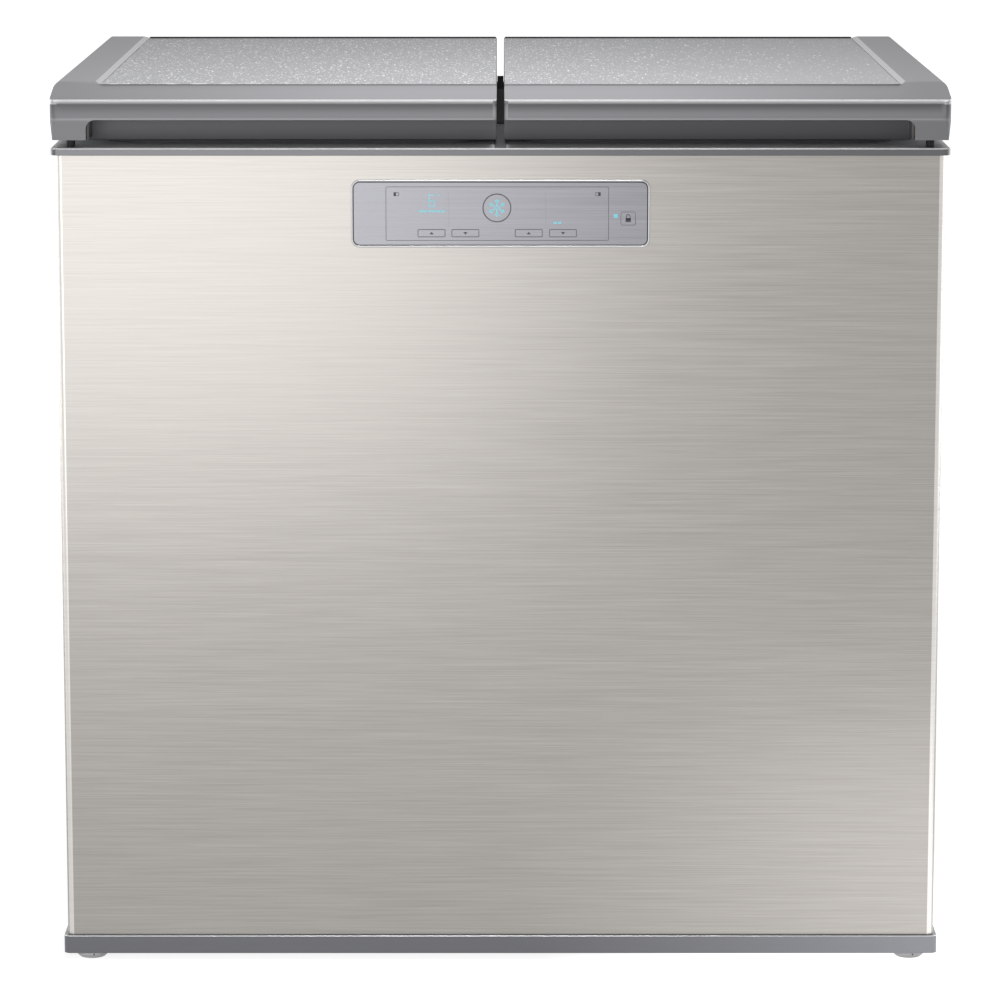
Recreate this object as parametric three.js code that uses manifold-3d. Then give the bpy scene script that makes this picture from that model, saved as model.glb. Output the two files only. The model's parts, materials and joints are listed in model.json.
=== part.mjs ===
// A chest-type kimchi refrigerator: a cabinet with two wells side by side, each under its own hinged lid.
// Millimetres, X to the right, Y to the back, Z up. The origin is on the floor under the middle.
import * as THREE from "three";
import { mergeVertices } from "three/addons/utils/BufferGeometryUtils.js";
import Module from "manifold-3d";

const wasm = await Module();
wasm.setup();

// ---------------------------------------------------------------- driving dimensions
const WIDTH = 926; // across the lids and the top frame
const DEPTH = 736; // lids' front edge to the back of the top frame
const HEIGHT = 925; // floor to the lids' side bands
const SEAT = 0.3; // gap between two pieces that bear on each other

// bands of the front, from the floor up
const FOOT_GAP = 7; // floor to the base trim
const TRIM_HEIGHT = 19;
const FRAME_HEIGHT = 7.5; // rim of the top frame
const LID_GAP = 8.5; // top frame to the lids' lower edge
const LID_HEIGHT = 55;

// cabinet shell
const SIDE_STEP = 4; // side panels behind the frame's edge
const FRONT_STEP = 6; // front and back panels behind the overall depth
const SHEET = 1; // steel sheet
const SHELL_R = 7; // upright front corners
const PANEL_RETURN = 24; // front panel folded back along each side
const FRAME_SETBACK = 1.5; // top frame's front behind the lids'
const FRAME_R = 7;
const RAIL_HEIGHT = 9; // rail along the frame's back
const RAIL_THICK = 7;
const TRIM_THICK = 4.2;
const TRIM_R = 7;

// wells
const WELL_SIDE = 64; // overall side to the nearer well
const WELL_END = 78; // overall front or back to the wells
const WELL_R = 30;
const DIVIDER = 58; // between the two wells
const LINER = 2; // sheet of the tanks and of the lids' liners
const FLANGE = 14; // tank flange round the well
const FLOOR_FOAM = 60;

// evaporator, a tube wound round each tank
const TUBE_R = 3.5;
const COIL_TURNS = 5;
const COIL_PITCH = 64;
const COIL_DROP = 90; // well's mouth to the highest turn

// lids
const LID_SPLIT = 8; // between the two lids
const LID_SETBACK = 10; // lids' back edge before the overall depth
const LID_WALL = 3;
const LID_DRAFT = 2.5; // walls lean in below the ridge
const RIDGE_DROP = 34; // lid's top to the ridge of its wall
const CREASE_DROP = 14; // lid's top to the crease of its front
const BAND_LENGTH = 68; // sloping band along the front
const SIDE_BAND = 42; // raised band along the outer side
const BEVEL = 6; // from the side band down to the deco panel
const PANEL_STEP = 2; // deco panel below the side band
const PANEL_THICK = 3;
const PANEL_FRONT = 59; // front edge of the deco panel behind the lid's front
const PANEL_BACK = 18; // back edge of the deco panel before the lid's back
const LID_EDGE_R = 5; // along the outer side and the back
const LID_CORNER_R = 8; // front outer corner, from above
const LID_CREASE_R = 4; // along the front's crease
const LID_BROW_R = 12; // from the sloping band to the flat top
const PLUG_DEPTH = 16.5; // lid liner's plug below the frame's top
const PLUG_CLEARANCE = 12; // plug to the well's wall
const GASKET_WIDTH = 12;
const GASKET_OFFSET = 2; // gasket outside the well's edge
const BELLOWS = 3; // groove round the gasket

// grip recess under each lid's front edge
const GRIP_END = 37; // from the lid's outer edge
const GRIP_DEPTH = 45;
const GRIP_LIP = 8; // thickness of the lip that fingers pull
const GRIP_ROOM = 8; // finger room above the lip's edge
const GRIP_WALL = 2.5;
const GRIP_SKIRT = 3.5; // back wall of the recess below the lid's lower edge
const GRIP_NOTCH_R = 6; // rounded outer end of the lip
const BUMPER_WIDTH = 8;
const BUMPER_LENGTH = 14;
const BUMPER_SIDE = 16; // from the lid's outer edge
const BUMPER_FRONT = 13; // from the lid's front edge

// lid hinges
const HINGE_SPACING = 280; // between a lid's two hinges
const HINGE_SETBACK = 8; // axis before the lid's back edge
const HINGE_RISE = 10; // axis above the lid's lower edge
const PIN_R = 4;
const KNUCKLE_R = 7.2;
const KNUCKLE_WIDTH = 19;
const LUG_WIDTH = 4;
const HINGE_PLATE = 3;
const HINGE_WIDTH = 48;
const HINGE_REACH = 18; // plates in front of the axis
const HINGE_HEEL = 6; // plates behind the axis
const POCKET_RISE = 12; // pocket's ceiling above the axis

// control panel on the front
const CONTROL_WIDTH = 308;
const CONTROL_HEIGHT = 70;
const CONTROL_DROP = 67.5; // its middle below the frame's top
const CONTROL_R = 9;
const BEZEL_WIDTH = 3;
const BEZEL_THICK = 1.6;
const OVERLAY_THICK = 1;
const CONTROL_LAP = 6; // bezel and overlay lap over the cutout's edge
const BOX_DEPTH = 30;
const BOX_WALL = 2;

// base, feet and casters
const PAN_HEIGHT = 29; // inverted steel pan that carries everything
const PAN_DROP = 9; // floor to the pan's lower edge
const PAN_THICK = 2;
const FOOT_INSET_X = 29; // foot's axis from the overall width
const FOOT_INSET_Y = 21; // foot's axis from the overall front
const FOOT_TOP_R = 19.3;
const FOOT_BOTTOM_R = 13.7;
const FOOT_RIM = 1.2; // upright rim of the foot's pad
const SCREW_R = 5;
const BOSS_R = 12;
const CASTER_INSET_X = 80;
const CASTER_INSET_Y = 60;
const WHEEL_R = 16;
const WHEEL_WIDTH = 20;
const AXLE_R = 3;
const FORK_THICK = 2;

// machine room
const MACHINE_ROOM = 233.4; // base pan's deck to the foam above it
const COVER_THICK = 1.5;
const LOUVRES = 9;
const LOUVRE_LENGTH = 150;
const LOUVRE_HEIGHT = 7;
const LOUVRE_PITCH = 18;
const GLAND_R = 9;
const GLAND_FLANGE = 13;
const GLAND_INSET = 59; // gland's axis from the side panel
const COMPRESSOR_R = 72;
const COMPRESSOR_HEIGHT = 165;
const COMPRESSOR_SKIRT = 12; // its base plate's top above the deck
const COMPRESSOR_PLATE = 6;
const COMPRESSOR_INSET = 219; // compressor's axis from the side panel
const MACHINE_INSET = 152; // middle of the compressor, fan and condenser before the back panel
const FAN_R = 78;
const FAN_BLADES = 5;
const FAN_HUB_R = 18;
const FAN_SHAFT_R = 3;
const FAN_GAP = 7; // blade tips to the shroud's hole
const FAN_CLEARANCE = 4; // blades to the shroud's arms
const FAN_CHORD = 30; // width of a blade
const FAN_PITCH = 32; // degrees
const BLADE_THICK = 1.5;
const SHROUD_SIZE = 190;
const SHROUD_THICK = 3;
const SHROUD_X = 10;
const MOTOR_R = 24;
const MOTOR_LENGTH = 38;
const CONDENSER_X = 110; // nearest face to the fan
const CONDENSER_LENGTH = 210;
const CONDENSER_HEIGHT = 170;
const CONDENSER_DEPTH = 150;
const CONDENSER_FINS = 12;
const FIN_THICK = 3;
const FIN_CORE = 30; // tube bundle that joins the fins

// kimchi containers, two layers of two in the left well
const CONTAINER_ROOM = 34.4; // upper containers to the closed lid's plug
const CONTAINER_GAP = 6; // between containers, and to the well
const CONTAINER_R = 34;
const CONTAINER_WALL = 2.5;
const CONTAINER_TAPER = 6; // how much each side leans in towards the bottom
const CAP_HEIGHT = 18;
const CAP_SKIRT = 4; // thickness of the cap's skirt
const CAP_PLATE = 6; // thickness of the cap's top
const CAP_BRIM = 16; // rim round the cap's dished top
const CAP_DISH = 3; // depth of the dish

// ---------------------------------------------------------------- levels and faces
const sideX = WIDTH / 2 - SIDE_STEP;
const frontY = -DEPTH / 2 + FRONT_STEP;
const backY = DEPTH / 2 - FRONT_STEP;
const trimTop = FOOT_GAP + TRIM_HEIGHT;
const lidBottom = HEIGHT - LID_HEIGHT;
const frameTop = lidBottom - LID_GAP;
const panelTop = frameTop - FRAME_HEIGHT;
const panelBottom = trimTop + SEAT;
const panTop = PAN_DROP + PAN_HEIGHT;
const deckZ = panTop + SEAT; // what stands on the base pan
const wellWidth = (WIDTH - DIVIDER) / 2 - WELL_SIDE;
const wellLength = DEPTH - 2 * WELL_END;
const wellX = (DIVIDER + wellWidth) / 2;
const foamTop = panelTop - LINER - SEAT;
const foamBottom = deckZ + MACHINE_ROOM;
const wellFloor = foamBottom + FLOOR_FOAM + SEAT + LINER;
const lidFront = -DEPTH / 2;
const lidBack = DEPTH / 2 - LID_SETBACK;
const lidOuter = -WIDTH / 2; // the left lid; the right one is its mirror image
const lidInner = -LID_SPLIT / 2;
const panelLevel = HEIGHT - PANEL_STEP;
const gripTop = HEIGHT - RIDGE_DROP;
const hingeY = lidBack - HINGE_SETBACK;
const hingeZ = lidBottom + HINGE_RISE;
const controlZ = frameTop - CONTROL_DROP;
const machineY = backY - MACHINE_INSET;
const compressorX = COMPRESSOR_INSET - sideX;
const glandX = sideX - GLAND_INSET;
const glandZ = (panelBottom + foamBottom) / 2;

// ---------------------------------------------------------------- shape helpers
const AXES = {
  x: new THREE.Vector3(1, 0, 0),
  y: new THREE.Vector3(0, 1, 0),
  z: new THREE.Vector3(0, 0, 1),
};
// where an outline's two directions and its depth go, for a prism along each axis
const PRISM_FRAMES = {
  x: [AXES.y, AXES.z, AXES.x],
  y: [AXES.x, AXES.z, AXES.y],
  z: [AXES.x, AXES.y, AXES.z],
};
const ARC_STEP = Math.PI / 12;
const SMALL_R = 5;
const BEYOND = 5; // how far a cut runs past the face that it opens

/** A closed geometry as a solid that can be joined and cut, with its faces turned outwards. */
function toSolid(geometry) {
  const bare = geometry.index ? geometry.toNonIndexed() : geometry.clone();
  bare.deleteAttribute("normal");
  bare.deleteAttribute("uv");
  const merged = mergeVertices(bare, 1e-4);
  const corners = merged.attributes.position.array;
  const triangles = new Uint32Array(merged.index.array);
  const make = () => {
    const mesh = new wasm.Mesh({ numProp: 3, vertProperties: corners, triVerts: triangles });
    return new wasm.Manifold(mesh);
  };
  const made = make();
  if (made.volume() >= 0) return made;
  for (let i = 0; i < triangles.length; i += 3) {
    [triangles[i + 1], triangles[i + 2]] = [triangles[i + 2], triangles[i + 1]];
  }
  return make();
}

function toGeometry(solid) {
  const { vertProperties, triVerts } = solid.getMesh();
  const indexed = new THREE.BufferGeometry();
  indexed.setAttribute("position", new THREE.BufferAttribute(vertProperties, 3));
  indexed.setIndex(new THREE.BufferAttribute(triVerts, 1));
  const flat = indexed.toNonIndexed();
  flat.computeVertexNormals();
  return flat;
}

/** A closed shape through corners [x, y, radius], each rounded by an arc of its radius. */
function outline(corners) {
  const points = [];
  corners.forEach(([x, y, radius = 0], i) => {
    const corner = new THREE.Vector2(x, y);
    if (radius === 0) {
      points.push(corner);
      return;
    }
    const [bx, by] = corners.at(i - 1);
    const [ax, ay] = corners[(i + 1) % corners.length];
    const toBefore = new THREE.Vector2(bx, by).sub(corner).normalize();
    const toAfter = new THREE.Vector2(ax, ay).sub(corner).normalize();
    const half = Math.acos(toBefore.dot(toAfter)) / 2;
    const middle = toBefore.clone().add(toAfter).normalize();
    const centre = corner.clone().addScaledVector(middle, radius / Math.sin(half));
    const start = corner.clone().addScaledVector(toBefore, radius / Math.tan(half)).sub(centre);
    const sweep = (Math.PI - 2 * half) * Math.sign(toBefore.clone().negate().cross(toAfter));
    const steps = Math.ceil(Math.abs(sweep) / (radius < SMALL_R ? 2 * ARC_STEP : ARC_STEP) - 1e-6);
    for (let k = 0; k <= steps; k += 1) {
      points.push(start.clone().rotateAround(new THREE.Vector2(), (sweep * k) / steps).add(centre));
    }
  });
  return new THREE.Shape(points);
}

/** A rounded rectangle about a centre. */
function roundRect(cx, cy, width, length, radius) {
  const [x0, x1] = span(cx, width);
  const [y0, y1] = span(cy, length);
  return outline([[x0, y0, radius], [x1, y0, radius], [x1, y1, radius], [x0, y1, radius]]);
}

/** An outline as a solid that runs from one place to another along an axis. */
function prism(shape, axis, from, to) {
  const geometry = new THREE.ExtrudeGeometry(shape, { depth: to - from, bevelEnabled: false });
  geometry.translate(0, 0, from);
  geometry.applyMatrix4(new THREE.Matrix4().makeBasis(...PRISM_FRAMES[axis]));
  return toSolid(geometry);
}

/** The two ends of a length about its middle. */
const span = (middle, length) => [middle - length / 2, middle + length / 2];

function box([x0, x1], [y0, y1], [z0, z1]) {
  const geometry = new THREE.BoxGeometry(x1 - x0, y1 - y0, z1 - z0);
  geometry.translate((x0 + x1) / 2, (y0 + y1) / 2, (z0 + z1) / 2);
  return toSolid(geometry);
}

/** A round bar along an axis, from one place to another on it, about a centre [x, y, z]. */
function bar(axis, radius, from, to, [cx, cy, cz], sides = 24) {
  const geometry = new THREE.CylinderGeometry(radius, radius, to - from, sides);
  geometry.translate(0, (from + to) / 2, 0);
  geometry.applyQuaternion(new THREE.Quaternion().setFromUnitVectors(AXES.y, AXES[axis]));
  const centre = new THREE.Vector3(cx, cy, cz);
  centre[axis] = 0;
  geometry.translate(centre.x, centre.y, centre.z);
  return toSolid(geometry);
}

/** A round hole for a bar of a radius: its flats, not its corners, clear the bar by the gap. */
function bore(axis, radius, from, to, centre, gap = SEAT, sides = 24) {
  return bar(axis, (radius + gap) / Math.cos(Math.PI / sides), from, to, centre, sides);
}

/** A solid turned about an upright axis, from a profile [radius, z] that starts and ends on the axis. */
function turned(profile, cx, cy, sides = 24) {
  const geometry = new THREE.LatheGeometry(profile.map(([r, z]) => new THREE.Vector2(r, z)), sides);
  geometry.rotateX(Math.PI / 2);
  geometry.translate(cx, cy, 0);
  return toSolid(geometry);
}

/** A prism along Z whose lower outline is drawn in on each side, as a moulded tub's is. */
function tapered(cx, cy, width, length, radius, z0, z1, drawnIn) {
  const geometry = new THREE.ExtrudeGeometry(roundRect(0, 0, width, length, radius), {
    depth: z1 - z0,
    bevelEnabled: false,
  });
  const place = geometry.attributes.position;
  for (let i = 0; i < place.count; i += 1) {
    if (place.getZ(i) > (z1 - z0) / 2) continue;
    place.setX(i, place.getX(i) * (1 - (2 * drawnIn) / width));
    place.setY(i, place.getY(i) * (1 - (2 * drawnIn) / length));
  }
  geometry.translate(cx, cy, z0);
  return toSolid(geometry);
}

/** A round tube through a list of points, closed at both ends. */
function tube(points, radius, sides) {
  const corners = [];
  const triangles = [];
  points.forEach((point, i) => {
    const before = points[Math.max(i - 1, 0)];
    const after = points[Math.min(i + 1, points.length - 1)];
    const along = after.clone().sub(before).normalize();
    const sideways = new THREE.Vector3().crossVectors(AXES.z, along).normalize();
    const upwards = new THREE.Vector3().crossVectors(along, sideways);
    for (let k = 0; k < sides; k += 1) {
      const angle = (2 * Math.PI * k) / sides;
      const rim = point.clone().addScaledVector(sideways, radius * Math.cos(angle));
      rim.addScaledVector(upwards, radius * Math.sin(angle));
      corners.push(rim.x, rim.y, rim.z);
    }
    if (i === 0) return;
    const [low, high] = [(i - 1) * sides, i * sides];
    for (let k = 0; k < sides; k += 1) {
      const next = (k + 1) % sides;
      triangles.push(low + k, low + next, high + next, low + k, high + next, high + k);
    }
  });
  const last = (points.length - 1) * sides;
  for (let k = 1; k < sides - 1; k += 1) {
    triangles.push(0, k + 1, k, last, last + k, last + k + 1);
  }
  const geometry = new THREE.BufferGeometry();
  geometry.setAttribute("position", new THREE.Float32BufferAttribute(corners, 3));
  geometry.setIndex(triangles);
  return toSolid(geometry);
}

// ---------------------------------------------------------------- materials
const material = (color, roughness, metalness = 0) =>
  new THREE.MeshStandardMaterial({ color, roughness, metalness });
const MATERIALS = {
  brushedSteel: material(0xbdb8b1, 0.35, 0.9),
  paintedSteel: material(0xb4b3b1, 0.45, 0.3),
  zincSteel: material(0xa9abad, 0.4, 0.8),
  greyPlastic: material(0x8f9094, 0.45, 0.1),
  darkPlastic: material(0x4a4b4e, 0.5),
  framePlastic: material(0x85868a, 0.45),
  trimPlastic: material(0x9c9da0, 0.4, 0.2),
  palePlastic: material(0xd9dbde, 0.5),
  decoPanel: material(0xaeb0b3, 0.25, 0.2),
  overlay: material(0xa9a5ae, 0.35, 0.5),
  bezel: material(0xc9c8cc, 0.3, 0.6),
  liner: material(0xdfe3e6, 0.4),
  tank: material(0xc6cace, 0.4, 0.6),
  foam: material(0xe6dcb4, 0.95),
  rubber: material(0x1c1c1e, 0.8),
  gasket: material(0x5b5c60, 0.7),
  copper: material(0xb87348, 0.35, 0.9),
  blackSteel: material(0x17181a, 0.4, 0.5),
  tub: material(0x8e9296, 0.4),
  cap: material(0xb9bec2, 0.4),
};

/** A named piece. */
function piece(name, solid, finish) {
  const mesh = new THREE.Mesh(toGeometry(solid), MATERIALS[finish]);
  mesh.name = name;
  return mesh;
}

/** The same pieces on the left and, mirrored, on the right. */
function bothSides(make) {
  const pair = new THREE.Group();
  const left = make("left");
  const right = make("right");
  right.scale.x = -1;
  pair.add(left, right);
  return pair;
}

// ---------------------------------------------------------------- cabinet shell
const cutoutWidth = CONTROL_WIDTH - 2 * (BEZEL_WIDTH + CONTROL_LAP);
const cutoutHeight = CONTROL_HEIGHT - 2 * (BEZEL_WIDTH + CONTROL_LAP);
const cutoutR = CONTROL_R / 2;
const boxWidth = cutoutWidth + 2 * BOX_WALL;
const boxHeight = cutoutHeight + 2 * BOX_WALL;
const boxFront = frontY + SHEET + SEAT;
const boxBack = boxFront + BOX_DEPTH;

/** The body's outline from above, drawn in by an inset, back to a given Y. */
function shellOutline(inset, rearY) {
  const [x, y, r] = [sideX - inset, frontY + inset, SHELL_R - inset];
  return outline([[-x, y, r], [x, y, r], [x, rearY], [-x, rearY]]);
}

function frontPanel() {
  const rearY = frontY + PANEL_RETURN;
  const outer = prism(shellOutline(0, rearY), "z", panelBottom, panelTop);
  const inner = prism(shellOutline(SHEET, rearY + BEYOND), "z", panelBottom - BEYOND, panelTop + BEYOND);
  const cutout = roundRect(0, controlZ, cutoutWidth, cutoutHeight, cutoutR);
  const hole = prism(cutout, "y", frontY - BEYOND, frontY + BEYOND);
  return piece("front_panel", outer.subtract(inner).subtract(hole), "brushedSteel");
}

function sidePanel(side) {
  const start = frontY + PANEL_RETURN + SEAT;
  const sheet = box([-sideX, SHEET - sideX], [start, backY], [panelBottom, panelTop]);
  return new THREE.Group().add(piece(`side_panel_${side}`, sheet, "paintedSteel"));
}

function backPanel() {
  const x = sideX - SHEET - SEAT;
  const sheet = box([-x, x], [backY - SHEET, backY], [foamBottom + SEAT, panelTop]);
  return piece("back_panel", sheet, "zincSteel");
}

function machineCover() {
  const x = sideX - SHEET - SEAT;
  let cover = box([-x, x], [backY - COVER_THICK, backY], [panelBottom, foamBottom]);
  const middle = (panelBottom + foamBottom) / 2;
  for (const column of [-1, 0, 1]) {
    const cx = column * (LOUVRE_LENGTH + 2 * LOUVRE_PITCH);
    for (let row = 0; row < LOUVRES; row += 1) {
      const z = middle + (row - (LOUVRES - 1) / 2) * LOUVRE_PITCH;
      cover = cover.subtract(box(span(cx, LOUVRE_LENGTH), span(backY, 2 * BEYOND), span(z, LOUVRE_HEIGHT)));
    }
  }
  const glandHole = bore("y", GLAND_R, backY - BEYOND, backY + BEYOND, [glandX, 0, glandZ]);
  return piece("machine_cover", cover.subtract(glandHole), "zincSteel");
}

function cordGland() {
  const centre = [glandX, 0, glandZ];
  const neck = bar("y", GLAND_R, backY - COVER_THICK - FRONT_STEP, backY + SEAT + 1, centre);
  const flange = bar("y", GLAND_FLANGE, backY + SEAT, backY + FRONT_STEP - SEAT, centre);
  const socket = bar("y", GLAND_R / 2, backY, backY + FRONT_STEP + BEYOND, centre);
  return piece("cord_gland", neck.add(flange).subtract(socket), "rubber");
}

/** The rim round the two wells' mouths, and the rail that stands along its back. */
function topFrame() {
  const [x, y0, y1] = [WIDTH / 2, -DEPTH / 2 + FRAME_SETBACK, DEPTH / 2];
  const plan = outline([[-x, y0, FRAME_R], [x, y0, FRAME_R], [x, y1, FRAME_R / 2], [-x, y1, FRAME_R / 2]]);
  let frame = prism(plan, "z", panelTop + SEAT, frameTop);
  for (const side of [-1, 1]) {
    const mouth = roundRect(side * wellX, 0, wellWidth, wellLength, WELL_R);
    frame = frame.subtract(prism(mouth, "z", panelTop, frameTop + BEYOND));
  }
  const strip = box([-x, x], [y1 - RAIL_THICK, y1 + BEYOND], [frameTop + SEAT, frameTop + RAIL_HEIGHT]);
  const rail = strip.intersect(prism(plan, "z", panelTop, HEIGHT));
  const rim = piece("top_frame", frame, "framePlastic");
  return new THREE.Group().add(rim, piece("back_rail", rail, "framePlastic"));
}

function baseTrim() {
  const x = sideX + SIDE_STEP - SEAT;
  const y = frontY - TRIM_THICK;
  const plan = outline([[-x, y, TRIM_R], [x, y, TRIM_R], [x, backY], [-x, backY]]);
  const inside = outline([
    [-sideX + SHEET, frontY + SHEET / 2, TRIM_R],
    [sideX - SHEET, frontY + SHEET / 2, TRIM_R],
    [sideX - SHEET, backY + BEYOND],
    [-sideX + SHEET, backY + BEYOND],
  ]);
  const skirt = prism(plan, "z", FOOT_GAP, trimTop);
  const hollow = prism(inside, "z", FOOT_GAP - BEYOND, trimTop + BEYOND);
  return piece("base_trim", skirt.subtract(hollow), "trimPlastic");
}

// ---------------------------------------------------------------- insulation and tanks
const tankWidth = wellWidth + 2 * LINER;
const tankLength = wellLength + 2 * LINER;
const tankR = WELL_R + LINER;
const coilRoom = 2 * TUBE_R + 3 * SEAT + 1; // pocket for the coil round the tank
const coilTop = panelTop - COIL_DROP;
const coilBottom = coilTop - COIL_TURNS * COIL_PITCH;

function foamBody() {
  const plan = shellOutline(SHEET + SEAT, backY - SHEET - SEAT);
  let foam = prism(plan, "z", foamBottom, foamTop);
  for (const side of [-1, 1]) {
    const cx = side * wellX;
    const pocket = roundRect(cx, 0, tankWidth + 2 * SEAT, tankLength + 2 * SEAT, tankR + SEAT);
    foam = foam.subtract(prism(pocket, "z", wellFloor - LINER - SEAT, foamTop + BEYOND));
    const band = roundRect(cx, 0, tankWidth + 2 * coilRoom, tankLength + 2 * coilRoom, tankR + coilRoom);
    foam = foam.subtract(prism(band, "z", coilBottom - 3 * TUBE_R, coilTop + 3 * TUBE_R));
  }
  const nicheR = cutoutR + BOX_WALL + SEAT;
  const niche = roundRect(0, controlZ, boxWidth + 2 * SEAT, boxHeight + 2 * SEAT, nicheR);
  foam = foam.subtract(prism(niche, "y", frontY - BEYOND, boxBack + SEAT));
  return piece("foam_body", foam, "foam");
}

/** The well's outline from above, grown all round. */
const wellOutline = (grow) =>
  roundRect(-wellX, 0, wellWidth + 2 * grow, wellLength + 2 * grow, WELL_R + grow);

function tank(side) {
  const made = prism(wellOutline(LINER), "z", wellFloor - LINER, panelTop)
    .add(prism(wellOutline(FLANGE), "z", panelTop - LINER, panelTop))
    .subtract(prism(wellOutline(0), "z", wellFloor, panelTop + BEYOND));
  return new THREE.Group().add(piece(`tank_${side}`, made, "tank"));
}

/** One rising loop after another round the tank, 90 degrees of arc at each corner. */
function coilPath() {
  const arcSteps = 3;
  const step = Math.PI / 2 / arcSteps;
  const reach = (tankR + TUBE_R + SEAT) / Math.cos(step / 2); // chords stay clear of the tank
  const [cx, cy] = [tankWidth / 2 - tankR, tankLength / 2 - tankR]; // centres of the corner arcs
  const loop = [];
  for (const [sx, sy, start] of [[1, 1, 0], [-1, 1, 1], [-1, -1, 2], [1, -1, 3]]) {
    for (let k = 0; k <= arcSteps; k += 1) {
      const angle = (start * Math.PI) / 2 + k * step;
      loop.push([sx * cx + reach * Math.cos(angle), sy * cy + reach * Math.sin(angle)]);
    }
  }
  const points = [];
  for (let i = 0; i <= COIL_TURNS * loop.length; i += 1) {
    const [x, y] = loop[i % loop.length];
    points.push(new THREE.Vector3(x - wellX, y, coilBottom + (COIL_PITCH * i) / loop.length));
  }
  return points;
}

function evaporator(side) {
  return new THREE.Group().add(piece(`evaporator_${side}`, tube(coilPath(), TUBE_R, 6), "copper"));
}

// ---------------------------------------------------------------- control panel

function controlPanel() {
  const face = frontY - SEAT;
  const rim = roundRect(0, controlZ, CONTROL_WIDTH, CONTROL_HEIGHT, CONTROL_R);
  const [width, height] = [CONTROL_WIDTH - 2 * BEZEL_WIDTH, CONTROL_HEIGHT - 2 * BEZEL_WIDTH];
  const hole = roundRect(0, controlZ, width, height, CONTROL_R - BEZEL_WIDTH);
  const bezel = prism(rim, "y", face - BEZEL_THICK, face);
  const bezelHole = prism(hole, "y", face - BEZEL_THICK - BEYOND, face + BEYOND);

  const plateR = CONTROL_R - BEZEL_WIDTH - SEAT;
  const plate = roundRect(0, controlZ, width - 2 * SEAT, height - 2 * SEAT, plateR);

  const outside = roundRect(0, controlZ, boxWidth, boxHeight, cutoutR + BOX_WALL);
  const room = roundRect(0, controlZ, cutoutWidth, cutoutHeight, cutoutR);
  const housing = prism(outside, "y", boxFront, boxBack)
    .subtract(prism(room, "y", boxFront - BEYOND, boxBack - BOX_WALL));

  return new THREE.Group().add(
    piece("panel_bezel", bezel.subtract(bezelHole), "bezel"),
    piece("panel_overlay", prism(plate, "y", face - OVERLAY_THICK, face), "overlay"),
    piece("control_box", housing, "darkPlastic"),
  );
}

// ---------------------------------------------------------------- base
const footX = WIDTH / 2 - FOOT_INSET_X;
const footY = -DEPTH / 2 + FOOT_INSET_Y;
const casterX = WIDTH / 2 - CASTER_INSET_X;
const casterY = DEPTH / 2 - CASTER_INSET_Y;
const deckUnderside = panTop - PAN_THICK;
const padTop = FOOT_GAP - SEAT;

function basePan() {
  const plan = (inset, rear) => shellOutline(SHEET + SEAT + inset, rear);
  const rear = backY - COVER_THICK - SEAT;
  let pan = prism(plan(0, rear), "z", PAN_DROP, panTop);
  pan = pan.subtract(prism(plan(PAN_THICK, rear - PAN_THICK), "z", PAN_DROP - BEYOND, deckUnderside));
  for (const side of [-1, 1]) {
    const centre = [side * footX, footY, 0];
    pan = pan.add(bar("z", BOSS_R, padTop + SEAT, deckUnderside + PAN_THICK / 2, centre));
    pan = pan.subtract(bore("z", SCREW_R, 0, HEIGHT, centre));
  }
  return piece("base_pan", pan, "zincSteel");
}

function foot(side) {
  const pad = [[0, 0], [FOOT_BOTTOM_R, 0], [FOOT_TOP_R, padTop - FOOT_RIM], [FOOT_TOP_R, padTop]];
  const screw = [[SCREW_R, padTop], [SCREW_R, panTop], [0, panTop]];
  const made = turned([...pad, ...screw], -footX, footY);
  return new THREE.Group().add(piece(`foot_${side}`, made, "palePlastic"));
}

function caster(side) {
  const cx = -casterX;
  const axle = [cx, casterY, WHEEL_R];
  const top = deckUnderside - SEAT;
  const inside = WHEEL_WIDTH + 4 * SEAT; // between the fork's cheeks
  const outside = inside + 2 * FORK_THICK;
  const depth = span(casterY, WHEEL_R);
  const cheek = (inside + FORK_THICK) / 2;
  const bracket = box(span(cx, outside), depth, [top - FORK_THICK, top])
    .add(box(span(cx - cheek, FORK_THICK), depth, [WHEEL_R / 2, top]))
    .add(box(span(cx + cheek, FORK_THICK), depth, [WHEEL_R / 2, top]))
    .add(bar("x", AXLE_R, ...span(cx, outside), axle, 16));
  const wheel = bar("x", WHEEL_R, ...span(cx, WHEEL_WIDTH), axle, 32)
    .subtract(bore("x", AXLE_R, ...span(cx, 2 * WHEEL_WIDTH), axle, SEAT, 16));
  return new THREE.Group().add(
    piece(`caster_bracket_${side}`, bracket, "zincSteel"),
    piece(`caster_wheel_${side}`, wheel, "darkPlastic"),
  );
}

// ---------------------------------------------------------------- machine room
const fanZ = deckZ + SHROUD_SIZE / 2;

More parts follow.
